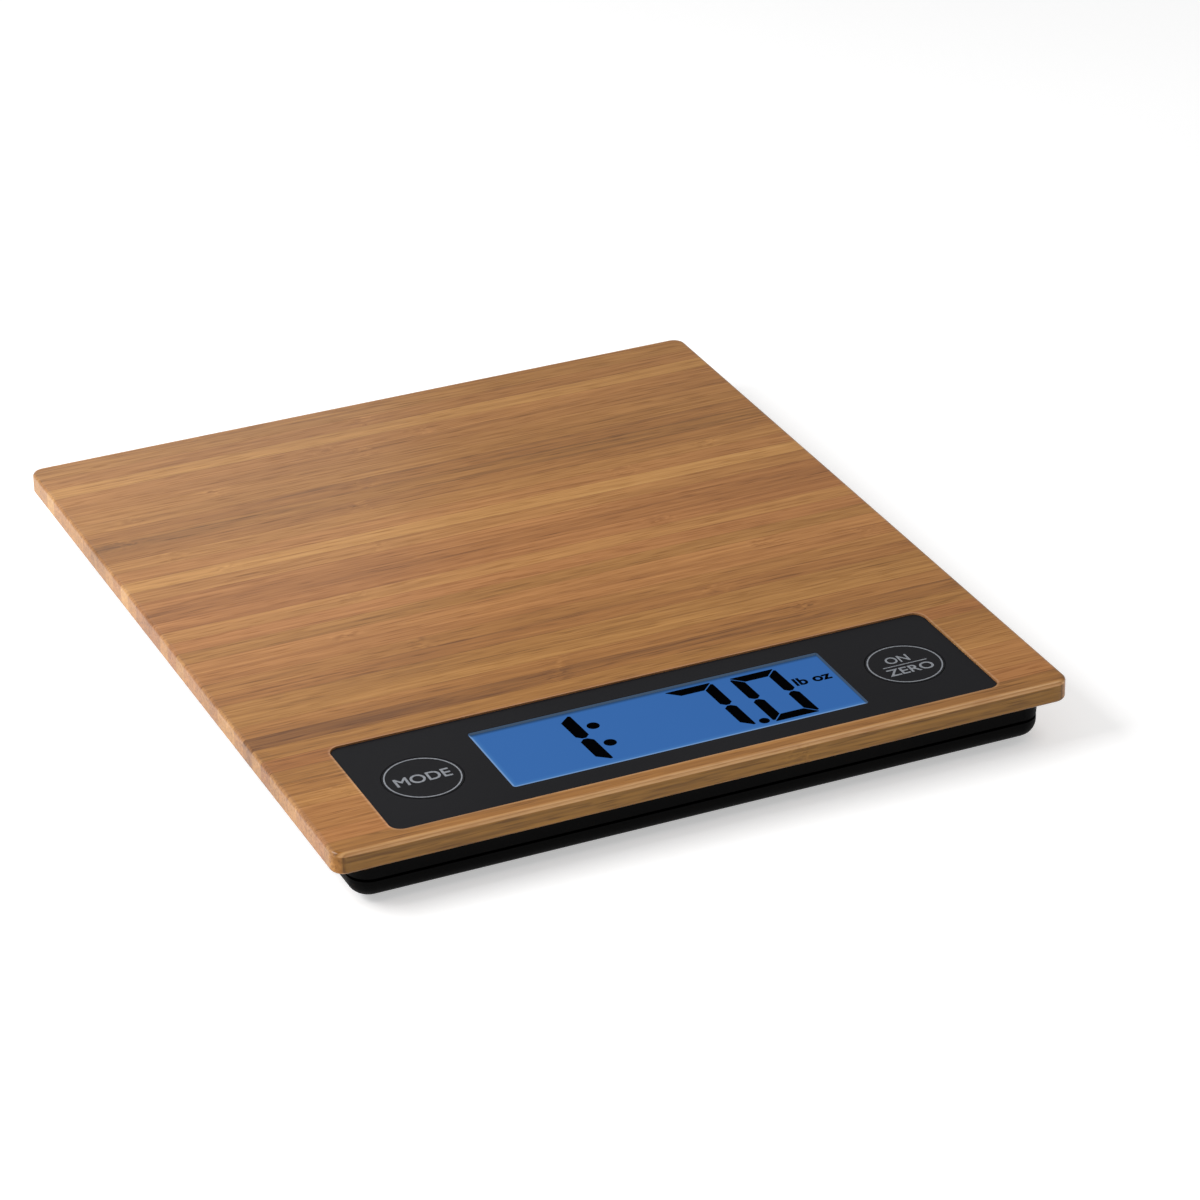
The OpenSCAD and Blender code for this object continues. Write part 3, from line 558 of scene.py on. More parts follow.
        # the end grain shows each strip as a block, dotted with the ends of its bundles of fibres
        # painted highlight along the top edges at the front and the back, and painted shade along those at
        # the ends and on the outer strips' broad sides
        edge, end_edge_shade, side, ends = self.painted_edge_masks(node, place)
        # painted highlight round the panel's pocket
        rim = self.painted_pocket_highlight(node, place)
        level = node("Math", (phase, 0.5), operation="SUBTRACT")
        strip_block = node("Math", (level, ends, 0.5), operation="MULTIPLY_ADD")
        length, width = self.bundle_mm
        cells = node("TexVoronoi", {"Scale": 1.0, "Vector": pattern_space(node, (length, width, width))})
        dotted = node("MapRange", (cells, 0.2, 0.45, 1.0, 0.0))
        bundle = node("Math", (dotted, ends), operation="MULTIPLY")

        # what makes the wood's tone, from 0, dark, to 1, pale: its own range, and the tones at its ends
        value = None
        for source, low, high, dark, pale in (
            (tone, 0.0, 1.0, 0.45, 0.69),
            (streak, 0.28, 0.72, -0.09, 0.09),
            (vein, 0.3, 0.7, -0.08, 0.08),
            (drift, 0.25, 0.75, -0.04, 0.04),
            (fibre, 0.0, 1.0, 0.0, -0.15),
            (pull, -0.3, 0.3, -0.25, 0.25),
            (strip_block, 0.0, 1.0, -0.05, 0.11),
            (bundle, 0.0, 1.0, 0.0, -0.12),
            # painted highlight: the top edges at the front and the back are painted paler
            (edge, 0.0, 1.0, 0.0, 0.42),
            # painted shade: the top edges at the ends are painted a little darker
            (end_edge_shade, 0.0, 1.0, 0.0, -0.03),
            # painted highlight: the rim round the pocket is painted paler
            (rim, 0.0, 1.0, 0.0, 0.13),
            # painted light: the end grain is painted a little paler
            (ends, 0.0, 1.0, 0.0, 0.07),
            # painted shade: the outer strips' broad sides are painted darker
            (side, 0.0, 1.0, 0.0, -0.22),
        ):
            share = node("MapRange", (source, low, high, dark, pale))
            value = node("Math", (value, share), operation="ADD") if value else share

        # a darker strip pales to about half of its depth in patches, and joints are thin dark lines
        fade = node("MapRange", (patches, 0.35, 0.6, 0.55))
        for strip, depth in self.dark_strips:
            chosen = node("Math", (number, strip, 0.5), operation="COMPARE")
            faded = node("Math", (chosen, fade), operation="MULTIPLY")
            value = node("Math", (faded, -depth, value), operation="MULTIPLY_ADD")
        joint = node("MapRange", (off_middle, self.joint_share, 0.5, 0.0, self.joint_depth))
        glued = node("Math", (joint, vein), operation="MULTIPLY")
        shown = node("Math", (value, glued), operation="SUBTRACT")

        wood = node("ValToRGB", (shown,))
        stops = wood.color_ramp.elements
        for index in range(1, len(self.tones) - 1):
            stops.new(index / (len(self.tones) - 1))
        for stop, colour in zip(stops, self.tones):
            stop.color = linear(colour)

        # the painted highlights, and the painted shade along the ends' top edges, are a little greyer, and
        # the painted shade on the outer strips' sides is a little yellower
        edge_light_and_shade = node("Math", (edge, end_edge_shade), operation="MAXIMUM")
        painted_light_and_shade = node("Math", (edge_light_and_shade, rim), operation="MAXIMUM")
        painted_light_greying = node("MapRange", (painted_light_and_shade, 0.0, 1.0, 1.0, 0.9))
        own_hue = node("MapRange", (phase, 0.0, 1.0, 0.496, 0.506))
        hue = node("Math", (side, 0.014, own_hue), operation="MULTIPLY_ADD")
        relief = node("Math", (fibre, -1.0, streak), operation="MULTIPLY_ADD")
        feed(shader, {
            "Base Color": node("HueSaturation", {"Hue": hue, "Saturation": painted_light_greying, "Color": wood}),
            "Roughness": node("MapRange", (fibre, 0.0, 1.0, self.roughness, self.roughness + 0.1)),
            "Normal": node("Bump", {"Height": relief, "Strength": 0.3, "Distance": self.relief_mm * MM}),
            "Specular IOR Level": self.gloss,
            "Coat Weight": self.coat[0],
            "Coat Roughness": self.coat[1],
        })


@dataclass(frozen=True)
class Moulding(Finish):
    """Plastic or rubber from a mould whose walls were given a fine grain.

    The grain breaks up the gloss, and the tone drifts a little with the flow of the melt.

    Attributes:
        pale: Colour where the tone is palest.
        grain_mm: Spacing of the grain, drawn coarser than real so that it shows.
        relief_mm: Depth of the grain.
        flow_mm: Size of the slow drift in tone.
        gloss: Strength of its reflections, of which 0.5 is usual.
        clearness: Share of light that passes through.
        glow: Strength of the white light that comes through it from behind.
    """

    pale: str = "#ffffff"
    grain_mm: float = 0.45
    relief_mm: float = 0.02
    flow_mm: float = 22
    gloss: float = 0.5
    clearness: float = 0
    glow: float = 0

    def draw(self, node: NodeMaker, shader: Node) -> None:
        """Draw the grain and the drift in tone.

        Args:
            node: Adds a node to the material.
            shader: Its surface shader.
        """
        grain, flow = (
            node("TexNoise", {"Scale": 1.0, "Roughness": rough, "Vector": pattern_space(node, (size,) * 3)})
            for size, rough in ((self.grain_mm, 0.6), (self.flow_mm, 0.5))
        )
        both = node("Math", (grain, 0.35, flow), operation="MULTIPLY_ADD")
        tone = node("MapRange", (both, 0.4, 0.95))
        dull, rough = self.roughness - 0.05, self.roughness + 0.07
        feed(shader, {
            "Base Color": node("Mix", {"Factor": tone, "A": self.colour, "B": self.pale}, data_type="RGBA"),
            "Roughness": node("MapRange", (grain, *NOISE_SPAN, dull, rough)),
            "Normal": node("Bump", {"Height": grain, "Strength": 0.5, "Distance": self.relief_mm * MM}),
            "Specular IOR Level": self.gloss,
            "Transmission Weight": self.clearness,
            "Emission Color": "#ffffff",
            "Emission Strength": self.glow,
        })


class Working(Enum):
    """How a metal surface was finished, as the size of its marks along X, Y and Z in millimetres."""

    ROLLED = (0.25, 14.0, 0.25)
    MILLED = (0.4, 0.12, 6.0)
    PLATED = (0.8, 0.8, 0.8)
    DRAWN = (0.2, 5.0, 5.0)


@dataclass(frozen=True)
class Metal(Finish):
    """Bare or plated metal, with the fine marks of how it was finished.

    Attributes:
        working: How it was finished.
        dull: Colour in its duller patches.
        patch_mm: Size of the duller patches.
        relief_mm: Depth of the marks.
    """

    working: Working = Working.PLATED
    dull: str = "#8d9094"
    patch_mm: float = 6
    relief_mm: float = 0.01

    def draw(self, node: NodeMaker, shader: Node) -> None:
        """Draw the working marks and the dull patches.

        Args:
            node: Adds a node to the material.
            shader: Its surface shader.
        """
        marks, patch = (
            node("TexNoise", {"Scale": 1.0, "Detail": detail, "Vector": pattern_space(node, size)})
            for size, detail in ((self.working.value, 2.0), ((self.patch_mm,) * 3, 3.0))
        )
        bright, dull = self.roughness - 0.08, self.roughness + 0.1
        feed(shader, {
            "Base Color": node("Mix", {"Factor": patch, "A": self.colour, "B": self.dull}, data_type="RGBA"),
            "Metallic": 1.0,
            "Roughness": node("MapRange", (marks, *NOISE_SPAN, bright, dull)),
            "Normal": node("Bump", {"Height": marks, "Strength": 0.3, "Distance": self.relief_mm * MM}),
        })


@dataclass(frozen=True)
class LitDisplay(Finish):
    """Clear lens bonded over a blue backlit film.

    It shines evenly. Light leaks along the rim that faces the eye, at the left and the front, and the
    window's shade lies along the rim at the back and the right.

    Attributes:
        bright: Colour at the lamps' end.
        unlit: Colour of the film in daylight, behind its own light.
        light: Strength of its light.
        gloss: Strength of its reflections.
        mottle_mm: Size of the slow unevenness of the light.
        glow: Colour beside the rim at the left and the front.
        near_rim: Colour of the rim at the left and the front.
        shade: Colour in the window's shade.
        far_rim: Colour of the rim at the back and the right.
        glow_mm: How far the glow reaches from the window's edge, at the left and at the front.
        near_mm: Width of the rim at the left and at the front.
        shade_mm: Width of the window's shade at the right and at the back.
        far_mm: Width of the rim at the right and at the back.
        window: Left front and right back corners of the window, in millimetres.
    """

    bright: str = "#376aad"
    unlit: str = "#060c16"
    light: float = 0.95
    gloss: float = 0.01
    mottle_mm: float = 24
    glow: str = "#4278b6"
    near_rim: str = "#7499ca"
    shade: str = "#2a4a72"
    far_rim: str = "#42546a"
    glow_mm: Pair = (1.7, 2.4)
    near_mm: Pair = (0.78, 1.3)
    shade_mm: Pair = (0.6, 1.5)
    far_mm: Pair = (0.28, 0.28)
    window: tuple[Pair, Pair] = ((0, 0), (1, 1))

    def draw(self, node: NodeMaker, shader: Node) -> None:
        """Draw the glow from the lamps' end to the far one, and the two kinds of rim.

        Args:
            node: Adds a node to the material.
            shader: Its surface shader.
        """
        place = node("SeparateXYZ", (pattern_space(node, (1, 1, 1)),))
        near, far = self.window
        mottle = node("TexNoise", {"Scale": 1.0, "Vector": pattern_space(node, (self.mottle_mm,) * 3)})
        away = node("MapRange", (place.outputs["X"], near[0], far[0]))
        uneven = node("Math", (mottle, 0.3, away), operation="MULTIPLY_ADD")
        shown = node("Mix", {"Factor": uneven, "A": self.bright, "B": self.colour}, data_type="RGBA")
        # for each rim: its corner of the window, the way in, its widths, the share of them that is full
        for corner, inwards, widths, full, colour in (
            (near, 1, self.glow_mm, 0.3, self.glow),
            (near, 1, self.near_mm, 0.75, self.near_rim),
            (far, -1, self.shade_mm, 0.4, self.shade),
            (far, -1, self.far_mm, 0.8, self.far_rim),
        ):
            for axis, edge, width in zip("XY", corner, widths):
                reach = inwards * width
                rim = node("MapRange", (place.outputs[axis], edge + reach, edge + reach * full))
                shown = node("Mix", {"Factor": rim, "A": shown, "B": colour}, data_type="RGBA")
        feed(shader, {
            "Base Color": self.unlit,
            "Specular IOR Level": self.gloss,
            "Emission Color": shown,
            "Emission Strength": self.light,
        })


@dataclass(frozen=True)
class PrintedInk(Finish):
    """Screen-printed ink, slightly uneven where the mesh laid it down, and without any gloss.

    Attributes:
        thin: Colour where the ink is thin.
        mesh_mm: Spacing of the unevenness.
    """

    thin: str = "#808080"
    mesh_mm: float = 0.5

    def draw(self, node: NodeMaker, shader: Node) -> None:
        """Draw the uneven ink.

        Args:
            node: Adds a node to the material.
            shader: Its surface shader.
        """
        lay = node("TexNoise", {"Scale": 1.0, "Vector": pattern_space(node, (self.mesh_mm,) * 3)})
        tone = node("MapRange", (lay, 0.35, 0.65))
        feed(shader, {
            "Base Color": node("Mix", {"Factor": tone, "A": self.thin, "B": self.colour}, data_type="RGBA"),
            "Specular IOR Level": 0,
        })


@dataclass(frozen=True)
class SolderMask(Finish):
    """Green lacquer over a circuit board, with copper tracks and bare pads showing under it.

    Attributes:
        track: Colour of the lacquer over copper.
        pad: Colour of a bare tinned pad.
        pitch_mm: Distance between tracks, and half of that between pads.
        relief_mm: Height of a track.
    """

    track: str = "#3f8a4c"
    pad: str = "#c9b37a"
    pitch_mm: float = 2.4
    relief_mm: float = 0.03

    def draw(self, node: NodeMaker, shader: Node) -> None:
        """Draw tracks that step across the board, and rows of pads.

        Args:
            node: Adds a node to the material.
            shader: Its surface shader.
        """
        tracks = node("TexBrick", {
            "Vector": pattern_space(node, (self.pitch_mm,) * 3), "Scale": 1.0, "Mortar Size": 0.09,
            "Brick Width": 3.5, "Row Height": 1.0,
        }).outputs["Fac"]
        covered = node("Mix", {"Factor": tracks, "A": self.colour, "B": self.track}, data_type="RGBA")
        dots = node("TexVoronoi", {"Vector": pattern_space(node, (self.pitch_mm * 2,) * 3), "Scale": 1.0,
                                   "Randomness": 0.0})
        bare = node("MapRange", (dots, 0.14, 0.17, 1.0, 0.0))
        feed(shader, {
            "Base Color": node("Mix", {"Factor": bare, "A": covered, "B": self.pad}, data_type="RGBA"),
            "Normal": node("Bump", {"Height": tracks, "Strength": 0.4, "Distance": self.relief_mm * MM}),
        })


@dataclass(frozen=True)
class FlatCable(Finish):
    """Insulated wires side by side, joined in a flat ribbon.

    Attributes:
        second: Colour of every other wire.
        wire_mm: Width of one wire.
        relief_mm: Depth of the valleys between the wires.
    """

    second: str = "#1b1b1d"
    wire_mm: float = 1.0
    relief_mm: float = 0.1

    def draw(self, node: NodeMaker, shader: Node) -> None:
        """Draw the wires and the valleys between them.

        Args:
            node: Adds a node to the material.
            shader: Its surface shader.
        """
        across = node("SeparateXYZ", (pattern_space(node, (self.wire_mm,) * 3),))
        wire = node("Math", (across.outputs["X"], 1.0), operation="PINGPONG")
        odd = node("Math", (wire, 0.5), operation="GREATER_THAN")
        feed(shader, {
            "Base Color": node("Mix", {"Factor": odd, "A": self.colour, "B": self.second}, data_type="RGBA"),
            "Normal": node("Bump", {"Height": wire, "Strength": 0.6, "Distance": self.relief_mm * MM}),
        })


# warm wood under a thin, slightly hazy shine
BAMBOO = LacqueredBamboo("satin_lacquered_bamboo", "#b08049", 0.36)
# printed black on its underside and hard-coated: near-black, smooth and barely shiny
PANEL_FILM = Moulding("hard_coated_charcoal_film", "#121215", 0.34, 1.58, pale="#18181b", grain_mm=0.3,
                      relief_mm=0.003, flow_mm=60, gloss=0.04)
# the same black, a touch duller, so that a key shows only by its fine gap
KEY_CAP = Moulding("satin_charcoal_key", "#121215", 0.36, 1.58, pale="#18181b", grain_mm=0.3,
                   relief_mm=0.003, flow_mm=60, gloss=0.04)
# matt pale grey for the keys, and dead black for the lit film
LEGEND_INK = PrintedInk("screen_printed_pale_grey_ink", "#94979c", 0.5, thin="#7d8086")
SEGMENT_INK = PrintedInk("dark_liquid_crystal_segment", "#020203", 0.5, thin="#040406")
# spark-eroded mould: black with a fine grain that holds no clear reflection
HOUSING = Moulding("spark_grained_black_abs", "#020202", 0.5, 1.54, pale="#040404", grain_mm=0.5, gloss=0.03)
# soft and dull, a little greyer than the shell
SOLE_RUBBER = Moulding("moulded_black_rubber", "#141415", 0.72, 1.52, pale="#232325", grain_mm=0.7,
                       relief_mm=0.03)
# creamy white with a moulded sheen
WHITE_MOULDING = Moulding("natural_white_abs", "#d9d9d2", 0.4, 1.54, pale="#e6e6e0")
# polished sheet, clear with a faint cool cast
CLEAR_MOULDING = Moulding("clear_cast_acrylic", "#eaf4f6", 0.06, 1.49, relief_mm=0.001, clearness=1)
# sheet that carries the lamps' blue light, and the pale domes of the lamps
LIGHT_GUIDE = Moulding("blue_lit_acrylic", "#3f7fd0", 0.2, 1.49, pale="#5b96de")
LAMP = Moulding("cast_epoxy_lamp", "#dfe6c8", 0.2, 1.52, pale="#f2f5e2")
# shiny near-black resin
EPOXY = Moulding("black_potting_epoxy", "#0e0e10", 0.25, 1.55, pale="#17171a", grain_mm=1.5)
# rubber strip whose thin carbon layers give a mauve grey
CONTACT_RUBBER = Moulding("layered_contact_silicone", "#6a5c72", 0.6, 1.42, pale="#8a7c92")
# hand-laid and lumpy, milky white
SEALANT = Moulding("white_silicone_sealant", "#dedfdc", 0.5, 1.41, pale="#f1f1ee", grain_mm=1.6,
                   relief_mm=0.08)
# thin amber film over the gauges
GAUGE_FILM = Moulding("amber_polyimide_film", "#9c6a22", 0.3, 1.7, pale="#b5803a")
# green with paler tracks and tinned dots
BOARD = SolderMask("green_solder_mask", "#235a30", 0.35, 1.53)
# soft vinyl over stranded wire, ribbed along its length
GREY_CABLE = FlatCable("grey_ribbon_cable", "#8a8f96", 0.45, 1.53, second="#7b8087")
RED_CABLE = FlatCable("red_and_black_twin_lead", "#a3281f", 0.4, 1.53, wire_mm=1.5)
# plated steel is bluish and even, milled aluminium is streaked by the cutter, and nickel is warmer
ZINC_SHEET = Metal("zinc_plated_steel_sheet", "#b9bcc0", 0.34, working=Working.ROLLED, dull="#9da1a6")
ZINC_SCREW = Metal("zinc_plated_screw", "#b4b7bb", 0.28, working=Working.PLATED, dull="#8f9398")
ALUMINIUM = Metal("milled_aluminium", "#c9ccd0", 0.3, working=Working.MILLED, dull="#b3b6ba")
NICKEL = Metal("nickel_plated_can", "#cfd0cc", 0.22, working=Working.DRAWN, dull="#b8b9b5")
SPRING_STRIP = Metal("nickel_plated_bronze_strip", "#c7b27a", 0.3, working=Working.DRAWN, dull="#a8925c")
# ground white sheet with no shine, lit evenly from beneath
OPAL = Moulding("matt_opal_acrylic", "#e2e2e2", 0.9, 1.49, pale="#e8e8e8", grain_mm=3, flow_mm=300, gloss=0,
                glow=0.45)


def dress(finish: Finish, *nodes: str) -> None:
    """Give CAD nodes a finish.

    Args:
        finish: What they are made of.
        nodes: Their names.
    """
    material = finish.material()
    for node in nodes:
        for material_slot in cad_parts[node].material_slots:
            material_slot.link = "OBJECT"
            material_slot.material = material
        LOG.info("%s: %s", node, finish.name)


def fit(piece: Piece, finish: Finish, body: str) -> Piece:
    """Finish a new piece and let it ride on a body.

    Args:
        piece: The piece, in its place.
        finish: What it is made of.
        body: The body that carries it.

    Returns:
        The same piece.
    """
    piece.data.materials.clear()
    piece.data.materials.append(finish.material())
    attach(piece, body)
    LOG.info("%s: %s, on %s", piece.name, finish.name, body)
    return piece


# ---------------------------------------------------------------- shapes that several sub-assemblies use


def printed_dot(name: str, centre: Vector, radius: float) -> Piece:
    """Model a round dot of ink with a soft rim.

    Args:
        name: Name of the piece.
        centre: Middle of its underside.
        radius: Its radius.

    Returns:
        The finished dot.
    """
    disc = begin(bpy.ops.mesh.primitive_cylinder_add, name, vertices=32, radius=radius, depth=INK,
                 location=centre + up(INK / 2))
    bevel_where(lambda edge: edge.z > INK * 0.49 and edge.xy.length > radius * 0.9, INK * 0.4, segments=2)
    return end(disc)


def printed_word(
    name: str, text: str, centre: Vector, size: Pair, weight: float = 0, thickness: float = INK
) -> Piece:
    """Model a word as raised ink, at an exact size.

    Args:
        name: Name of the piece.
        text: The word.
        centre: Middle of its underside.
        size: Its width and height.
        weight: What is added to its strokes all round, for each unit of the font's size.
        thickness: Height of the ink.

    Returns:
        The finished word.
    """
    bpy.ops.object.select_all(action="DESELECT")
    bpy.ops.object.text_add()
    word = bpy.context.active_object
    word.data.body = text
    word.data.extrude = 0.5
    word.data.bevel_depth = weight
    word.data.resolution_u = 6
    bpy.ops.object.convert(target="MESH")
    word = named(name)
    corners = [vertex.co for vertex in word.data.vertices]
    low, high = (Vector([limit(c[axis] for c in corners) for axis in range(3)]) for limit in (min, max))
    span = high - low
    scale = Matrix.Diagonal((size[0] / span.x, size[1] / span.y, thickness / span.z, 1))
    place = Matrix.Translation(centre + up(thickness / 2))
    word.data.transform(place @ scale @ Matrix.Translation(-(low + high) / 2))
    return word


def rounded_plate(name: str, middle: Vector, size: Vector, corner: float, segments: int = 10) -> Piece:
    """Model a plate with round upright corners.

    Args:
        name: Name of the piece.
        middle: Its middle.
        size: Its width, depth and height.
        corner: Radius of its corners.
        segments: Number of faces round each corner.

    Returns:
        The finished plate.
    """
    plate = block(name, middle, size)
    bevel_where(lambda edge: abs(edge.z) < size.z / 4, corner, segments)
    return end(plate)


# ---------------------------------------------------------------- sub-assemblies


@dataclass(frozen=True)
class Window:
    """Opening in the panel, over the display.

    Attributes:
        size: Its width and depth.
        offset: Its middle, from the panel's.
        corner: Radius of its corners.
    """

    size: Pair = (87.5 * MM, 26.7 * MM)
    offset: Pair = (0.36 * MM, -0.1 * MM)
    corner: float = 0.8 * MM

    def middle(self, height: float) -> Vector:
        """Return the window's middle, at a height."""
        return over("display_panel", height) + Vector((*self.offset, 0))


@dataclass
class Platform:
    """Bamboo board and the charcoal panel let into it.

    Attributes:
        window: The opening over the display.
        corner: Radius of the panel's corners.
        key_flange: How far a key's hidden flange stands out from its cap.
        key_gap: Gap between a cap and its hole.
        edge: Width of the panel's softened edges.
    """

    window: Window
    corner: float = 2.8 * MM
    key_flange: float = 1.0 * MM
    key_gap: float = 0.15 * MM
    edge: float = 0.07 * MM

    def panel(self) -> Piece:
        """Model the panel, with its window and the two holes for the keys.

        Returns:
            The panel, in its place.
        """
        low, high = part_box("display_panel")
        middle, size = (low + high) / 2, high - low
        plate = rounded_plate("charcoal_panel", middle, size, self.corner)
        opening = Vector((*self.window.size, size.z * 2))
        cutters = [rounded_plate("window_cutter", self.window.middle(middle.z), opening, self.window.corner)]
        for key in ("unit_key", "tare_key"):
            key_low, key_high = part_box(key)
            radius = (key_high.y - key_low.y) / 2 - self.key_flange + self.key_gap
            hole = begin(bpy.ops.mesh.primitive_cylinder_add, "key_cutter", vertices=96, radius=radius,
                         depth=size.z * 2, location=over(key, middle.z))
            cutters.append(end(hole))
        for cutter in cutters:
            shape_with(plate, "BOOLEAN", operation="DIFFERENCE", solver="EXACT", object=cutter)
            bpy.data.objects.remove(cutter)
        shape_with(plate, "BEVEL", width=self.edge, segments=2, limit_method="ANGLE")
        return plate

    def build(self) -> None:
        """Dress the board and set the panel in it."""
        dress(BAMBOO, "bamboo_platform")
        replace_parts(fit(self.panel(), PANEL_FILM, "platform"), "display_panel")


@dataclass(frozen=True)
class Legend:
    """One printed word of a key.

    Attributes:
        text: The word.
        size: Its width and height.
        offset: Its middle, from the key's.
    """

    text: str
    size: Pair
    offset: Pair = (0, 0)


@dataclass(frozen=True)
class Key:
    """Round key with a ring and its words printed on it.

    Attributes:
        name: First word of its nodes' and pieces' names.
        body: The body that it moves with.
        legends: Its words.
        rule: Length of the line between two words, or none.
        rule_width: Width of that line.
        weight: What is added to the words' strokes, for each unit of the font's size.
    """

    name: str
    body: str
    legends: tuple[Legend, ...]
    rule: float = 0
    rule_width: float = 0.32 * MM
    weight: float = 0.012

    def build(self, ring: Piece) -> None:
        """Dress the cap and print on it.

        Args:
            ring: Finished ring at the origin, which is copied.
        """
        cap = self.name + "_key"
        dress(KEY_CAP, cap)
        dress(EPOXY, self.name + "_switch_plunger")
        centre = over(cap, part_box(cap)[1].z)
        fit(copied(ring, cap + "_ring", centre), LEGEND_INK, self.body)
        marks = [
            printed_word(f"{self.name}_word", legend.text, centre + Vector((*legend.offset, 0)), legend.size,
                         self.weight)
            for legend in self.legends
        ]
        if self.rule:
            size, corner = Vector((self.rule, self.rule_width, INK)), self.rule_width * 0.3
            marks.append(rounded_plate("rule", centre + up(INK / 2), size, corner, segments=3))
        fit(merge(cap + "_legend", marks), LEGEND_INK, self.body)


@dataclass
class Keypad:
    """Both keys, which carry the same ring.

    Attributes:
        ring_radius: From a ring's middle to the middle of its line.
        ring_stroke: Width of a ring's line.
        keys: The keys.
    """

    ring_radius: float = 8.6 * MM
    ring_stroke: float = 0.33 * MM
    keys: tuple[Key, ...] = (
        Key("unit", "unit_button", (Legend("MODE", (13.2 * MM, 3.7 * MM)),)),
        Key("tare", "tare_button", (
            Legend("ON", (5.8 * MM, 3.1 * MM), (-0.7 * MM, 2.7 * MM)),
            Legend("ZERO", (11.6 * MM, 3.2 * MM), (0.1 * MM, -2.7 * MM)),
        ), rule=11.2 * MM),
    )

    def ring(self) -> Piece:
        """Model a flat ring of ink.

        Returns:
            The finished ring, at the origin.
        """
        ring = begin(bpy.ops.mesh.primitive_circle_add, "ring", vertices=128, fill_type="NGON",
                     radius=self.ring_radius + self.ring_stroke / 2)
        bpy.ops.mesh.select_all(action="SELECT")
        bpy.ops.mesh.inset(thickness=self.ring_stroke, depth=0)
        bpy.ops.mesh.delete(type="FACE")
        raise_all(INK)
        return end(ring)

    def build(self) -> None:
        """Build both keys with copies of one ring."""
        ring = self.ring()
        for key in self.keys:
            key.build(ring)
        bpy.data.objects.remove(ring)


class Segment(Enum):
    """Segment of a digit, as its start and end in columns and half heights."""

    TOP = ((0, 2), (1, 2))
    UPPER_RIGHT = ((1, 1), (1, 2))
    LOWER_RIGHT = ((1, 0), (1, 1))
    BOTTOM = ((0, 0), (1, 0))
    LOWER_LEFT = ((0, 0), (0, 1))
    UPPER_LEFT = ((0, 1), (0, 2))


ONE = (Segment.UPPER_RIGHT, Segment.LOWER_RIGHT)
SEVEN = (Segment.TOP, Segment.UPPER_RIGHT, Segment.LOWER_RIGHT)
ZERO = tuple(Segment)


@dataclass
class Digit:
    """Figure made of mitred segments.

    Attributes:
        name: Name of its piece.
        lit: Its dark segments.
        corner: Left front corner of the figure, on the film.
        width: Width over its uprights.
        height: Height over its bars, front to back.
        upright: Width of an upright segment.
        level: Width of a level segment.
        gap: Gap between segments, along each.
        blunt: Flat at the outer tip of an upright.
        level_blunt: Flat at the outer tips of a level segment.
        waist: How far an upright narrows to its point at the figure's waist, as a share of its width.
        lean: How far its top stands to the left, for each unit of height.
    """

    name: str
    lit: tuple[Segment, ...]
    corner: Vector
    width: float = 10.8 * MM
    height: float = 21.9 * MM
    upright: float = 3.1 * MM
    level: float = 2.75 * MM
    gap: float = 0.2 * MM
    blunt: float = 0.7 * MM
    level_blunt: float = 0.28 * MM
    waist: float = 0.34
    lean: float = 0.038

    def level_bar(self, segment: Segment) -> Piece:
        """Model the top or bottom bar, mitred at both ends.

        Args:
            segment: Which bar.

        Returns:
            The finished bar.
        """
        side = 1 if segment is Segment.TOP else -1
        length = self.width - 2 * self.gap
        middle = Vector((self.width / 2, self.height / 2 + side * (self.height - self.level) / 2, 0))
        bar = block(segment.name, middle, Vector((length, self.level, INK)))
        for end_side in (-1, 1):
            move_where(lambda v: v.y * side < 0 and v.x * end_side > 0, (-end_side * self.upright, 0, 0))
        bevel_where(lambda e: abs(e.x) > length * 0.45 and abs(e.z) < INK / 4, self.level_blunt)
        return end(bar)

    def upright_bar(self, segment: Segment) -> Piece:
        """Model an upright, mitred at its corner and pointed at the figure's waist.

        Args:
            segment: Which upright.

        Returns:
            The finished upright.
        """
        (column, low), (_, high) = segment.value
        side = 1 if column else -1
        top = 1 if high == 2 else -1
        length = self.height / 2 - 2 * self.gap
        middle = Vector((self.width / 2 + side * (self.width - self.upright) / 2,
                         self.height * (low + high) / 4, 0))
        bar = block(segment.name, middle, Vector((self.upright, length, INK)))
        bevel_where(lambda e: e.y * top < -length / 4 and abs(e.z) < INK / 4, self.upright * self.waist)
        move_where(lambda v: v.y * top > length / 4 and v.x * side < 0, (0, -top * self.level, 0))
        bevel_where(lambda e: e.y * top > length / 4 and e.x * side > 0 and abs(e.z) < INK / 4, self.blunt)
        return end(bar)

    def build(self) -> Piece:
        """Model the figure.

        Returns:
            The figure, in its place.
        """
        levels = (Segment.TOP, Segment.BOTTOM)
        bars = [self.level_bar(s) if s in levels else self.upright_bar(s) for s in self.lit]
        figure = merge(self.name, bars)
        lean = Matrix.Identity(4)
        lean[0][1] = -self.lean
        figure.data.transform(Matrix.Translation(self.corner + up(INK / 2)) @ lean)
        return figure


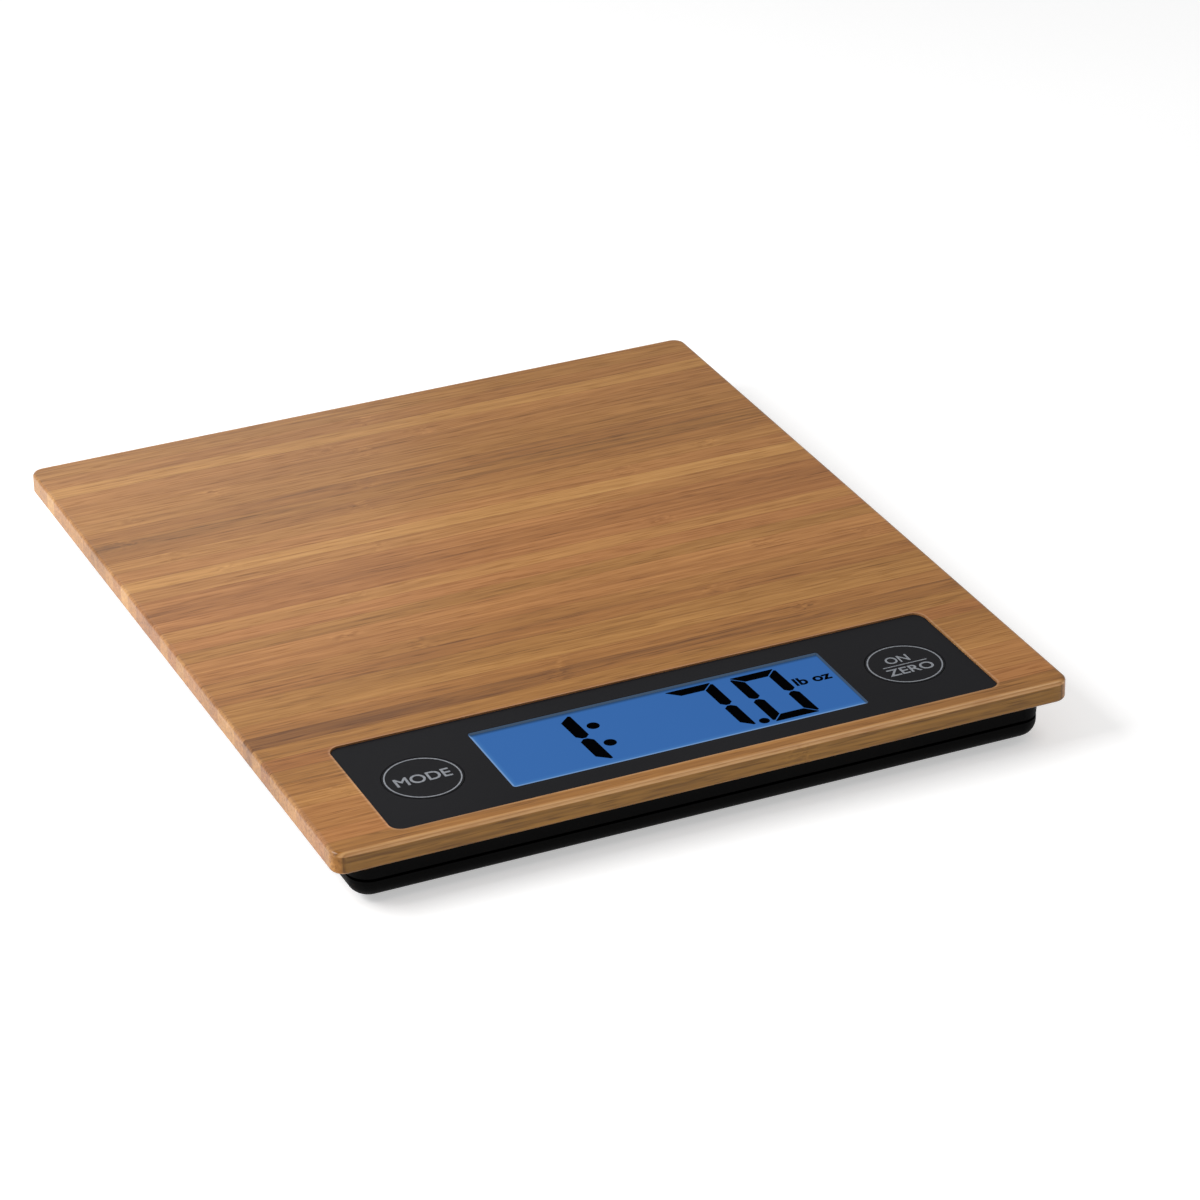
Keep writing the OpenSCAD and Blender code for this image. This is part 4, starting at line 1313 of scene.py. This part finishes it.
@dataclass
class Display:
    """Layers of the display, its reading, and the lining of its window.

    Attributes:
        window: The opening over the display.
        colon_radius: Radius of the colon's dots.
        point_radius: Radius of the decimal point.
        lens_height: Thickness of the clear lens over the film.
        lens_rim: Width of the lens's lowered rim.
        clearance: Gap between the lens and the window.
        lining_width: Thickness of the lining of the window's walls.
        lining_drop: How far the lining's top lies below the panel's.
    """

    window: Window
    colon_radius: float = 1.5 * MM
    point_radius: float = 1.25 * MM
    lens_height: float = 0.5 * MM
    lens_rim: float = 0.35 * MM
    clearance: float = 0.05 * MM
    lining_width: float = 0.2 * MM
    lining_drop: float = 0.06 * MM

    def place(self, right_mm: float, back_mm: float) -> Vector:
        """Return a place on the lens, measured from the window's left front corner."""
        middle = self.window.middle(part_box("front_polariser")[1].z + self.lens_height)
        return middle - Vector((*self.window.size, 0)) / 2 + Vector((right_mm, back_mm, 0)) * MM

    def layer(self, name: str, clearance: float, low: float, high: float) -> Piece:
        """Begin a block that fills the window between two heights.

        Args:
            name: Name of the piece.
            clearance: What is left free, for the whole width and depth.
            low: Height of its underside.
            high: Height of its top.

        Returns:
            The block, in edit mode.
        """
        width, depth = (side - clearance for side in self.window.size)
        return block(name, self.window.middle((low + high) / 2), Vector((width, depth, high - low)))

    def lens(self) -> Piece:
        """Model the clear lens, whose rim is cut lower than its middle.

        Returns:
            The lens, in its place.
        """
        top = self.place(0, 0).z
        plate = self.layer("display_lens", 2 * self.clearance, top - self.lens_height, top)
        half_width = self.window.size[0] / 2 - self.clearance
        select(Element.FACE, lambda face: face.z > self.lens_height * 0.49)
        bpy.ops.mesh.inset(thickness=self.lens_rim, depth=0)
        move_where(lambda v: v.z > 0 and abs(v.x) > half_width - self.lens_rim / 2, up(-self.lens_rim / 3))
        return end(plate)

    def lining(self) -> Piece:
        """Model the thin clear lining of the window's walls, from the lens up.

        Returns:
            The lining, in its place.
        """
        low, high = self.place(0, 0).z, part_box("display_panel")[1].z - self.lining_drop
        ring = self.layer("window_lining", self.clearance, low, high)
        select(Element.FACE, lambda face: abs(face.z) > (high - low) * 0.49)
        bpy.ops.mesh.inset(thickness=self.lining_width, depth=0)
        bpy.ops.mesh.bridge_edge_loops()
        return end(ring)

    def reading(self) -> list[Piece]:
        """Model the figures, the dots and the units.

        Returns:
            The pieces, each in its place.
        """
        pounds = Digit("pounds_digit", ONE, self.place(14.64, 2.4), height=23.0 * MM, upright=3.25 * MM,
                       lean=0.05)
        ounces = Digit("ounces_digit", SEVEN, self.place(48.64, 2.4), width=12.0 * MM, height=22.6 * MM,
                       upright=2.9 * MM)
        tenths = Digit("tenths_digit", ZERO, self.place(64.79, 2.15), width=11.6 * MM, height=22.5 * MM,
                       upright=2.75 * MM)
        lower_dot = printed_dot("lower_dot", self.place(27.6, 9.75), self.colon_radius)
        upper_dot = copied(lower_dot, "upper_dot", Vector((-0.3, 8.65, 0)) * MM)
        return [
            pounds.build(), ounces.build(), tenths.build(), merge("colon", [lower_dot, upper_dot]),
            printed_dot("decimal_point", self.place(62.9, 3.6), self.point_radius),
            printed_word("units", "lb oz", self.place(81.35, 16.5), (9.2 * MM, 3.5 * MM), weight=0.03),
        ]

    def build(self) -> None:
        """Dress the layers and add what the display shows."""
        near = self.place(0, 0) / MM
        far = near + Vector((*self.window.size, 0)) / MM
        lit = LitDisplay("blue_backlit_lens", "#3466a9", 0.3, window=((near.x, near.y), (far.x, far.y)))
        dress(lit, "front_polariser")
        fit(self.lens(), lit, "platform")
        fit(self.lining(), lit, "platform")
        dress(CLEAR_MOULDING, "front_glass", "rear_glass")
        dress(LIGHT_GUIDE, "rear_polariser", "light_guide")
        dress(WHITE_MOULDING, "reflector_sheet", "display_frame")
        dress(LAMP, "backlight_lamps")
        dress(CONTACT_RUBBER, "front_contact_strip", "rear_contact_strip")
        for piece in self.reading():
            fit(piece, SEGMENT_INK, "platform")


@dataclass
class Electronics:
    """Circuit board and what is soldered or screwed to it."""

    def build(self) -> None:
        """Dress the board and its parts."""
        dress(BOARD, "circuit_board")
        dress(EPOXY, "circuit_chips")
        dress(WHITE_MOULDING, "cable_sockets")
        dress(ZINC_SCREW, "board_screws", "unit_switch_body", "tare_switch_body")


@dataclass
class Weighing:
    """Load cell, its plates and its bolts."""

    def build(self) -> None:
        """Dress the load cell and what holds it."""
        dress(ALUMINIUM, "load_cell")
        dress(GAUGE_FILM, "strain_gauges")
        dress(SEALANT, "gauge_sealant")
        dress(GREY_CABLE, "sensor_ribbon")
        dress(ZINC_SHEET, "upper_support_plate", "lower_support_plate")
        dress(ZINC_SCREW, "upper_cell_bolts", "lower_cell_bolts", "platform_screws")


@dataclass
class Housing:
    """Upper shell, lower tray and feet."""

    def build(self) -> None:
        """Dress the shells and the feet."""
        dress(HOUSING, "upper_shell", "base_tray")
        dress(SOLE_RUBBER, "front_left_foot", "front_right_foot", "back_left_foot", "back_right_foot")


@dataclass
class Battery:
    """Coin cell, its contacts and its door.

    Attributes:
        relief: Height of the signs on the door.
        sink: How far they are set into the door, so that they are one with it.
        word_size: Width and height of the door's word.
        arrow_radius: Radius of the circle round the arrow.
        arrow_gap: From the word's middle to the arrow's.
        forward: How far the word stands from the door's middle.
    """

    relief: float = 0.2 * MM
    sink: float = 0.02 * MM
    word_size: Pair = (9 * MM, 2.4 * MM)
    arrow_radius: float = 2.2 * MM
    arrow_gap: float = 4.2 * MM
    forward: float = 1.5 * MM

    def door_sign(self) -> Piece:
        """Model the raised word and arrow on the door's outer face.

        Returns:
            The sign, in its place.
        """
        outer_face = over("battery_door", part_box("battery_door")[0].z)
        word = printed_word("open_word", "OPEN", Vector(), self.word_size, thickness=self.relief)
        arrow = begin(bpy.ops.mesh.primitive_circle_add, "arrow", vertices=3, radius=self.arrow_radius,
                      fill_type="NGON", location=(0, self.arrow_gap, 0))
        raise_all(self.relief)
        sign = merge("door_sign", [word, end(arrow)])
        place = Matrix.Translation(outer_face + Vector((0, self.forward, self.sink)))
        sign.data.transform(place @ Matrix.Rotation(math.pi, 4, "X"))
        return sign

    def build(self) -> None:
        """Dress the battery's parts and add the door's sign."""
        dress(HOUSING, "battery_door")
        dress(NICKEL, "coin_cell")
        dress(SPRING_STRIP, "negative_contact", "positive_contact")
        dress(RED_CABLE, "battery_ribbon")
        fit(self.door_sign(), HOUSING, "battery_lid")


# ---------------------------------------------------------------- studio


def bearing(azimuth: float, elevation: float) -> Vector:
    """Return the way to a point of the sky, in degrees, clockwise from the back and up from the table."""
    around, rise = math.radians(azimuth), math.radians(elevation)
    return Vector((math.sin(around) * math.cos(rise), math.cos(around) * math.cos(rise), math.sin(rise)))


@dataclass
class Softbox:
    """Large soft light.

    Attributes:
        name: Its name.
        azimuth: Where it stands, clockwise from the back as seen from above, in degrees.
        elevation: Its height above the table, in degrees.
        distance: From the scale's middle.
        size: Its width and height.
        power: In watts.
    """

    name: str
    azimuth: float
    elevation: float
    distance: float
    size: Pair
    power: float

    def build(self) -> None:
        """Hang the light, facing the scale."""
        way = bearing(self.azimuth, self.elevation)
        bpy.ops.object.light_add(type="AREA", location=way * self.distance)
        lamp = bpy.context.active_object
        lamp.name = self.name
        lamp.rotation_euler = way.to_track_quat("Z", "Y").to_euler()
        lamp.data.shape = "RECTANGLE"
        lamp.data.size, lamp.data.size_y = self.size
        lamp.data.energy = self.power


@dataclass
class Studio:
    """Pale table, soft lights and the camera.

    Attributes:
        aim: Point on the platform that the camera looks at.
        azimuth: Way that the camera looks, clockwise from the back, in degrees.
        depression: How far it looks down, in degrees.
        roll: Its turn about its own axis, in degrees.
        distance: From the camera to the aim.
        lens_mm: Its focal length.
        sensor_mm: Width of its sensor.
        table_size: Side of the table.
        room_light: Strength of the room's own light at the front and at the back.
        horizon_light: Strength of the pale band along the horizon.
        horizon: Height at which the band starts to fade, and at which it has gone.
        lights: The softboxes.
    """

    aim: Vector = field(default_factory=lambda: Vector((9.63, -22.26, 16.4)) * MM)
    azimuth: float = 23.715
    depression: float = 27.66
    roll: float = -1.13
    distance: float = 1092.6 * MM
    lens_mm: float = 138.86
    sensor_mm: float = 36
    table_size: float = 8.0
    room_light: Pair = (0.14, 0.56)
    horizon_light: float = 0.95
    horizon: Pair = (0.06, 0.16)
    lights: tuple[Softbox, ...] = (
        Softbox("key_light", -83, 44, 0.65, (0.4, 0.3), 3.5),
        Softbox("edge_light", 130, 58, 0.9, (0.45, 0.3), 1.3),
        Softbox("sheen_light", 4, 24, 1.0, (0.5, 0.28), 0.4),
    )

    def camera(self) -> None:
        """Stand the camera at its place."""
        forward = bearing(self.azimuth, -self.depression)
        bpy.ops.object.camera_add(location=self.aim - forward * self.distance)
        camera = bpy.context.active_object
        camera.name = "camera"
        level = forward.to_track_quat("-Z", "Y").to_matrix()
        camera.rotation_euler = (level @ Matrix.Rotation(math.radians(self.roll), 3, "Z")).to_euler()
        camera.data.lens = self.lens_mm
        camera.data.sensor_width = self.sensor_mm
        bpy.context.scene.camera = camera

    def table(self) -> None:
        """Lay the pale table, lit a little from beneath."""
        table = end(begin(bpy.ops.mesh.primitive_plane_add, "table", size=self.table_size))
        table.data.materials.append(OPAL.material())

    def world(self) -> None:
        """Light the room, brighter at the back than at the front, with a pale band at the horizon."""
        room = bpy.data.worlds.new("studio")
        room.use_nodes = True
        node = partial(add_node, room)
        way = node("SeparateXYZ", (node("TexCoord").outputs["Generated"],))
        upper = node("MapRange", (way.outputs["Y"], -1.0, 1.0, *self.room_light))
        band = node("MapRange", (way.outputs["Z"], *self.horizon, self.horizon_light, 0.0))
        level = node("Math", (upper, band), operation="MAXIMUM")
        feed(room.node_tree.nodes["Background"], {"Color": "#ffffff", "Strength": level})
        bpy.context.scene.world = room
        bpy.context.scene.view_settings.view_transform = "Standard"

    def build(self) -> None:
        """Set the camera, the table and the lights."""
        self.camera()
        self.table()
        self.world()
        for light in self.lights:
            light.build()


def main() -> None:
    """Build the studio and the scale's looks."""
    logging.basicConfig(level=logging.INFO, format="%(message)s")
    Studio().build()
    window = Window()
    for assembly in (
        Platform(window), Keypad(), Display(window), Electronics(), Weighing(), Housing(), Battery()
    ):
        assembly.build()


if __name__ == "__main__":
    main()
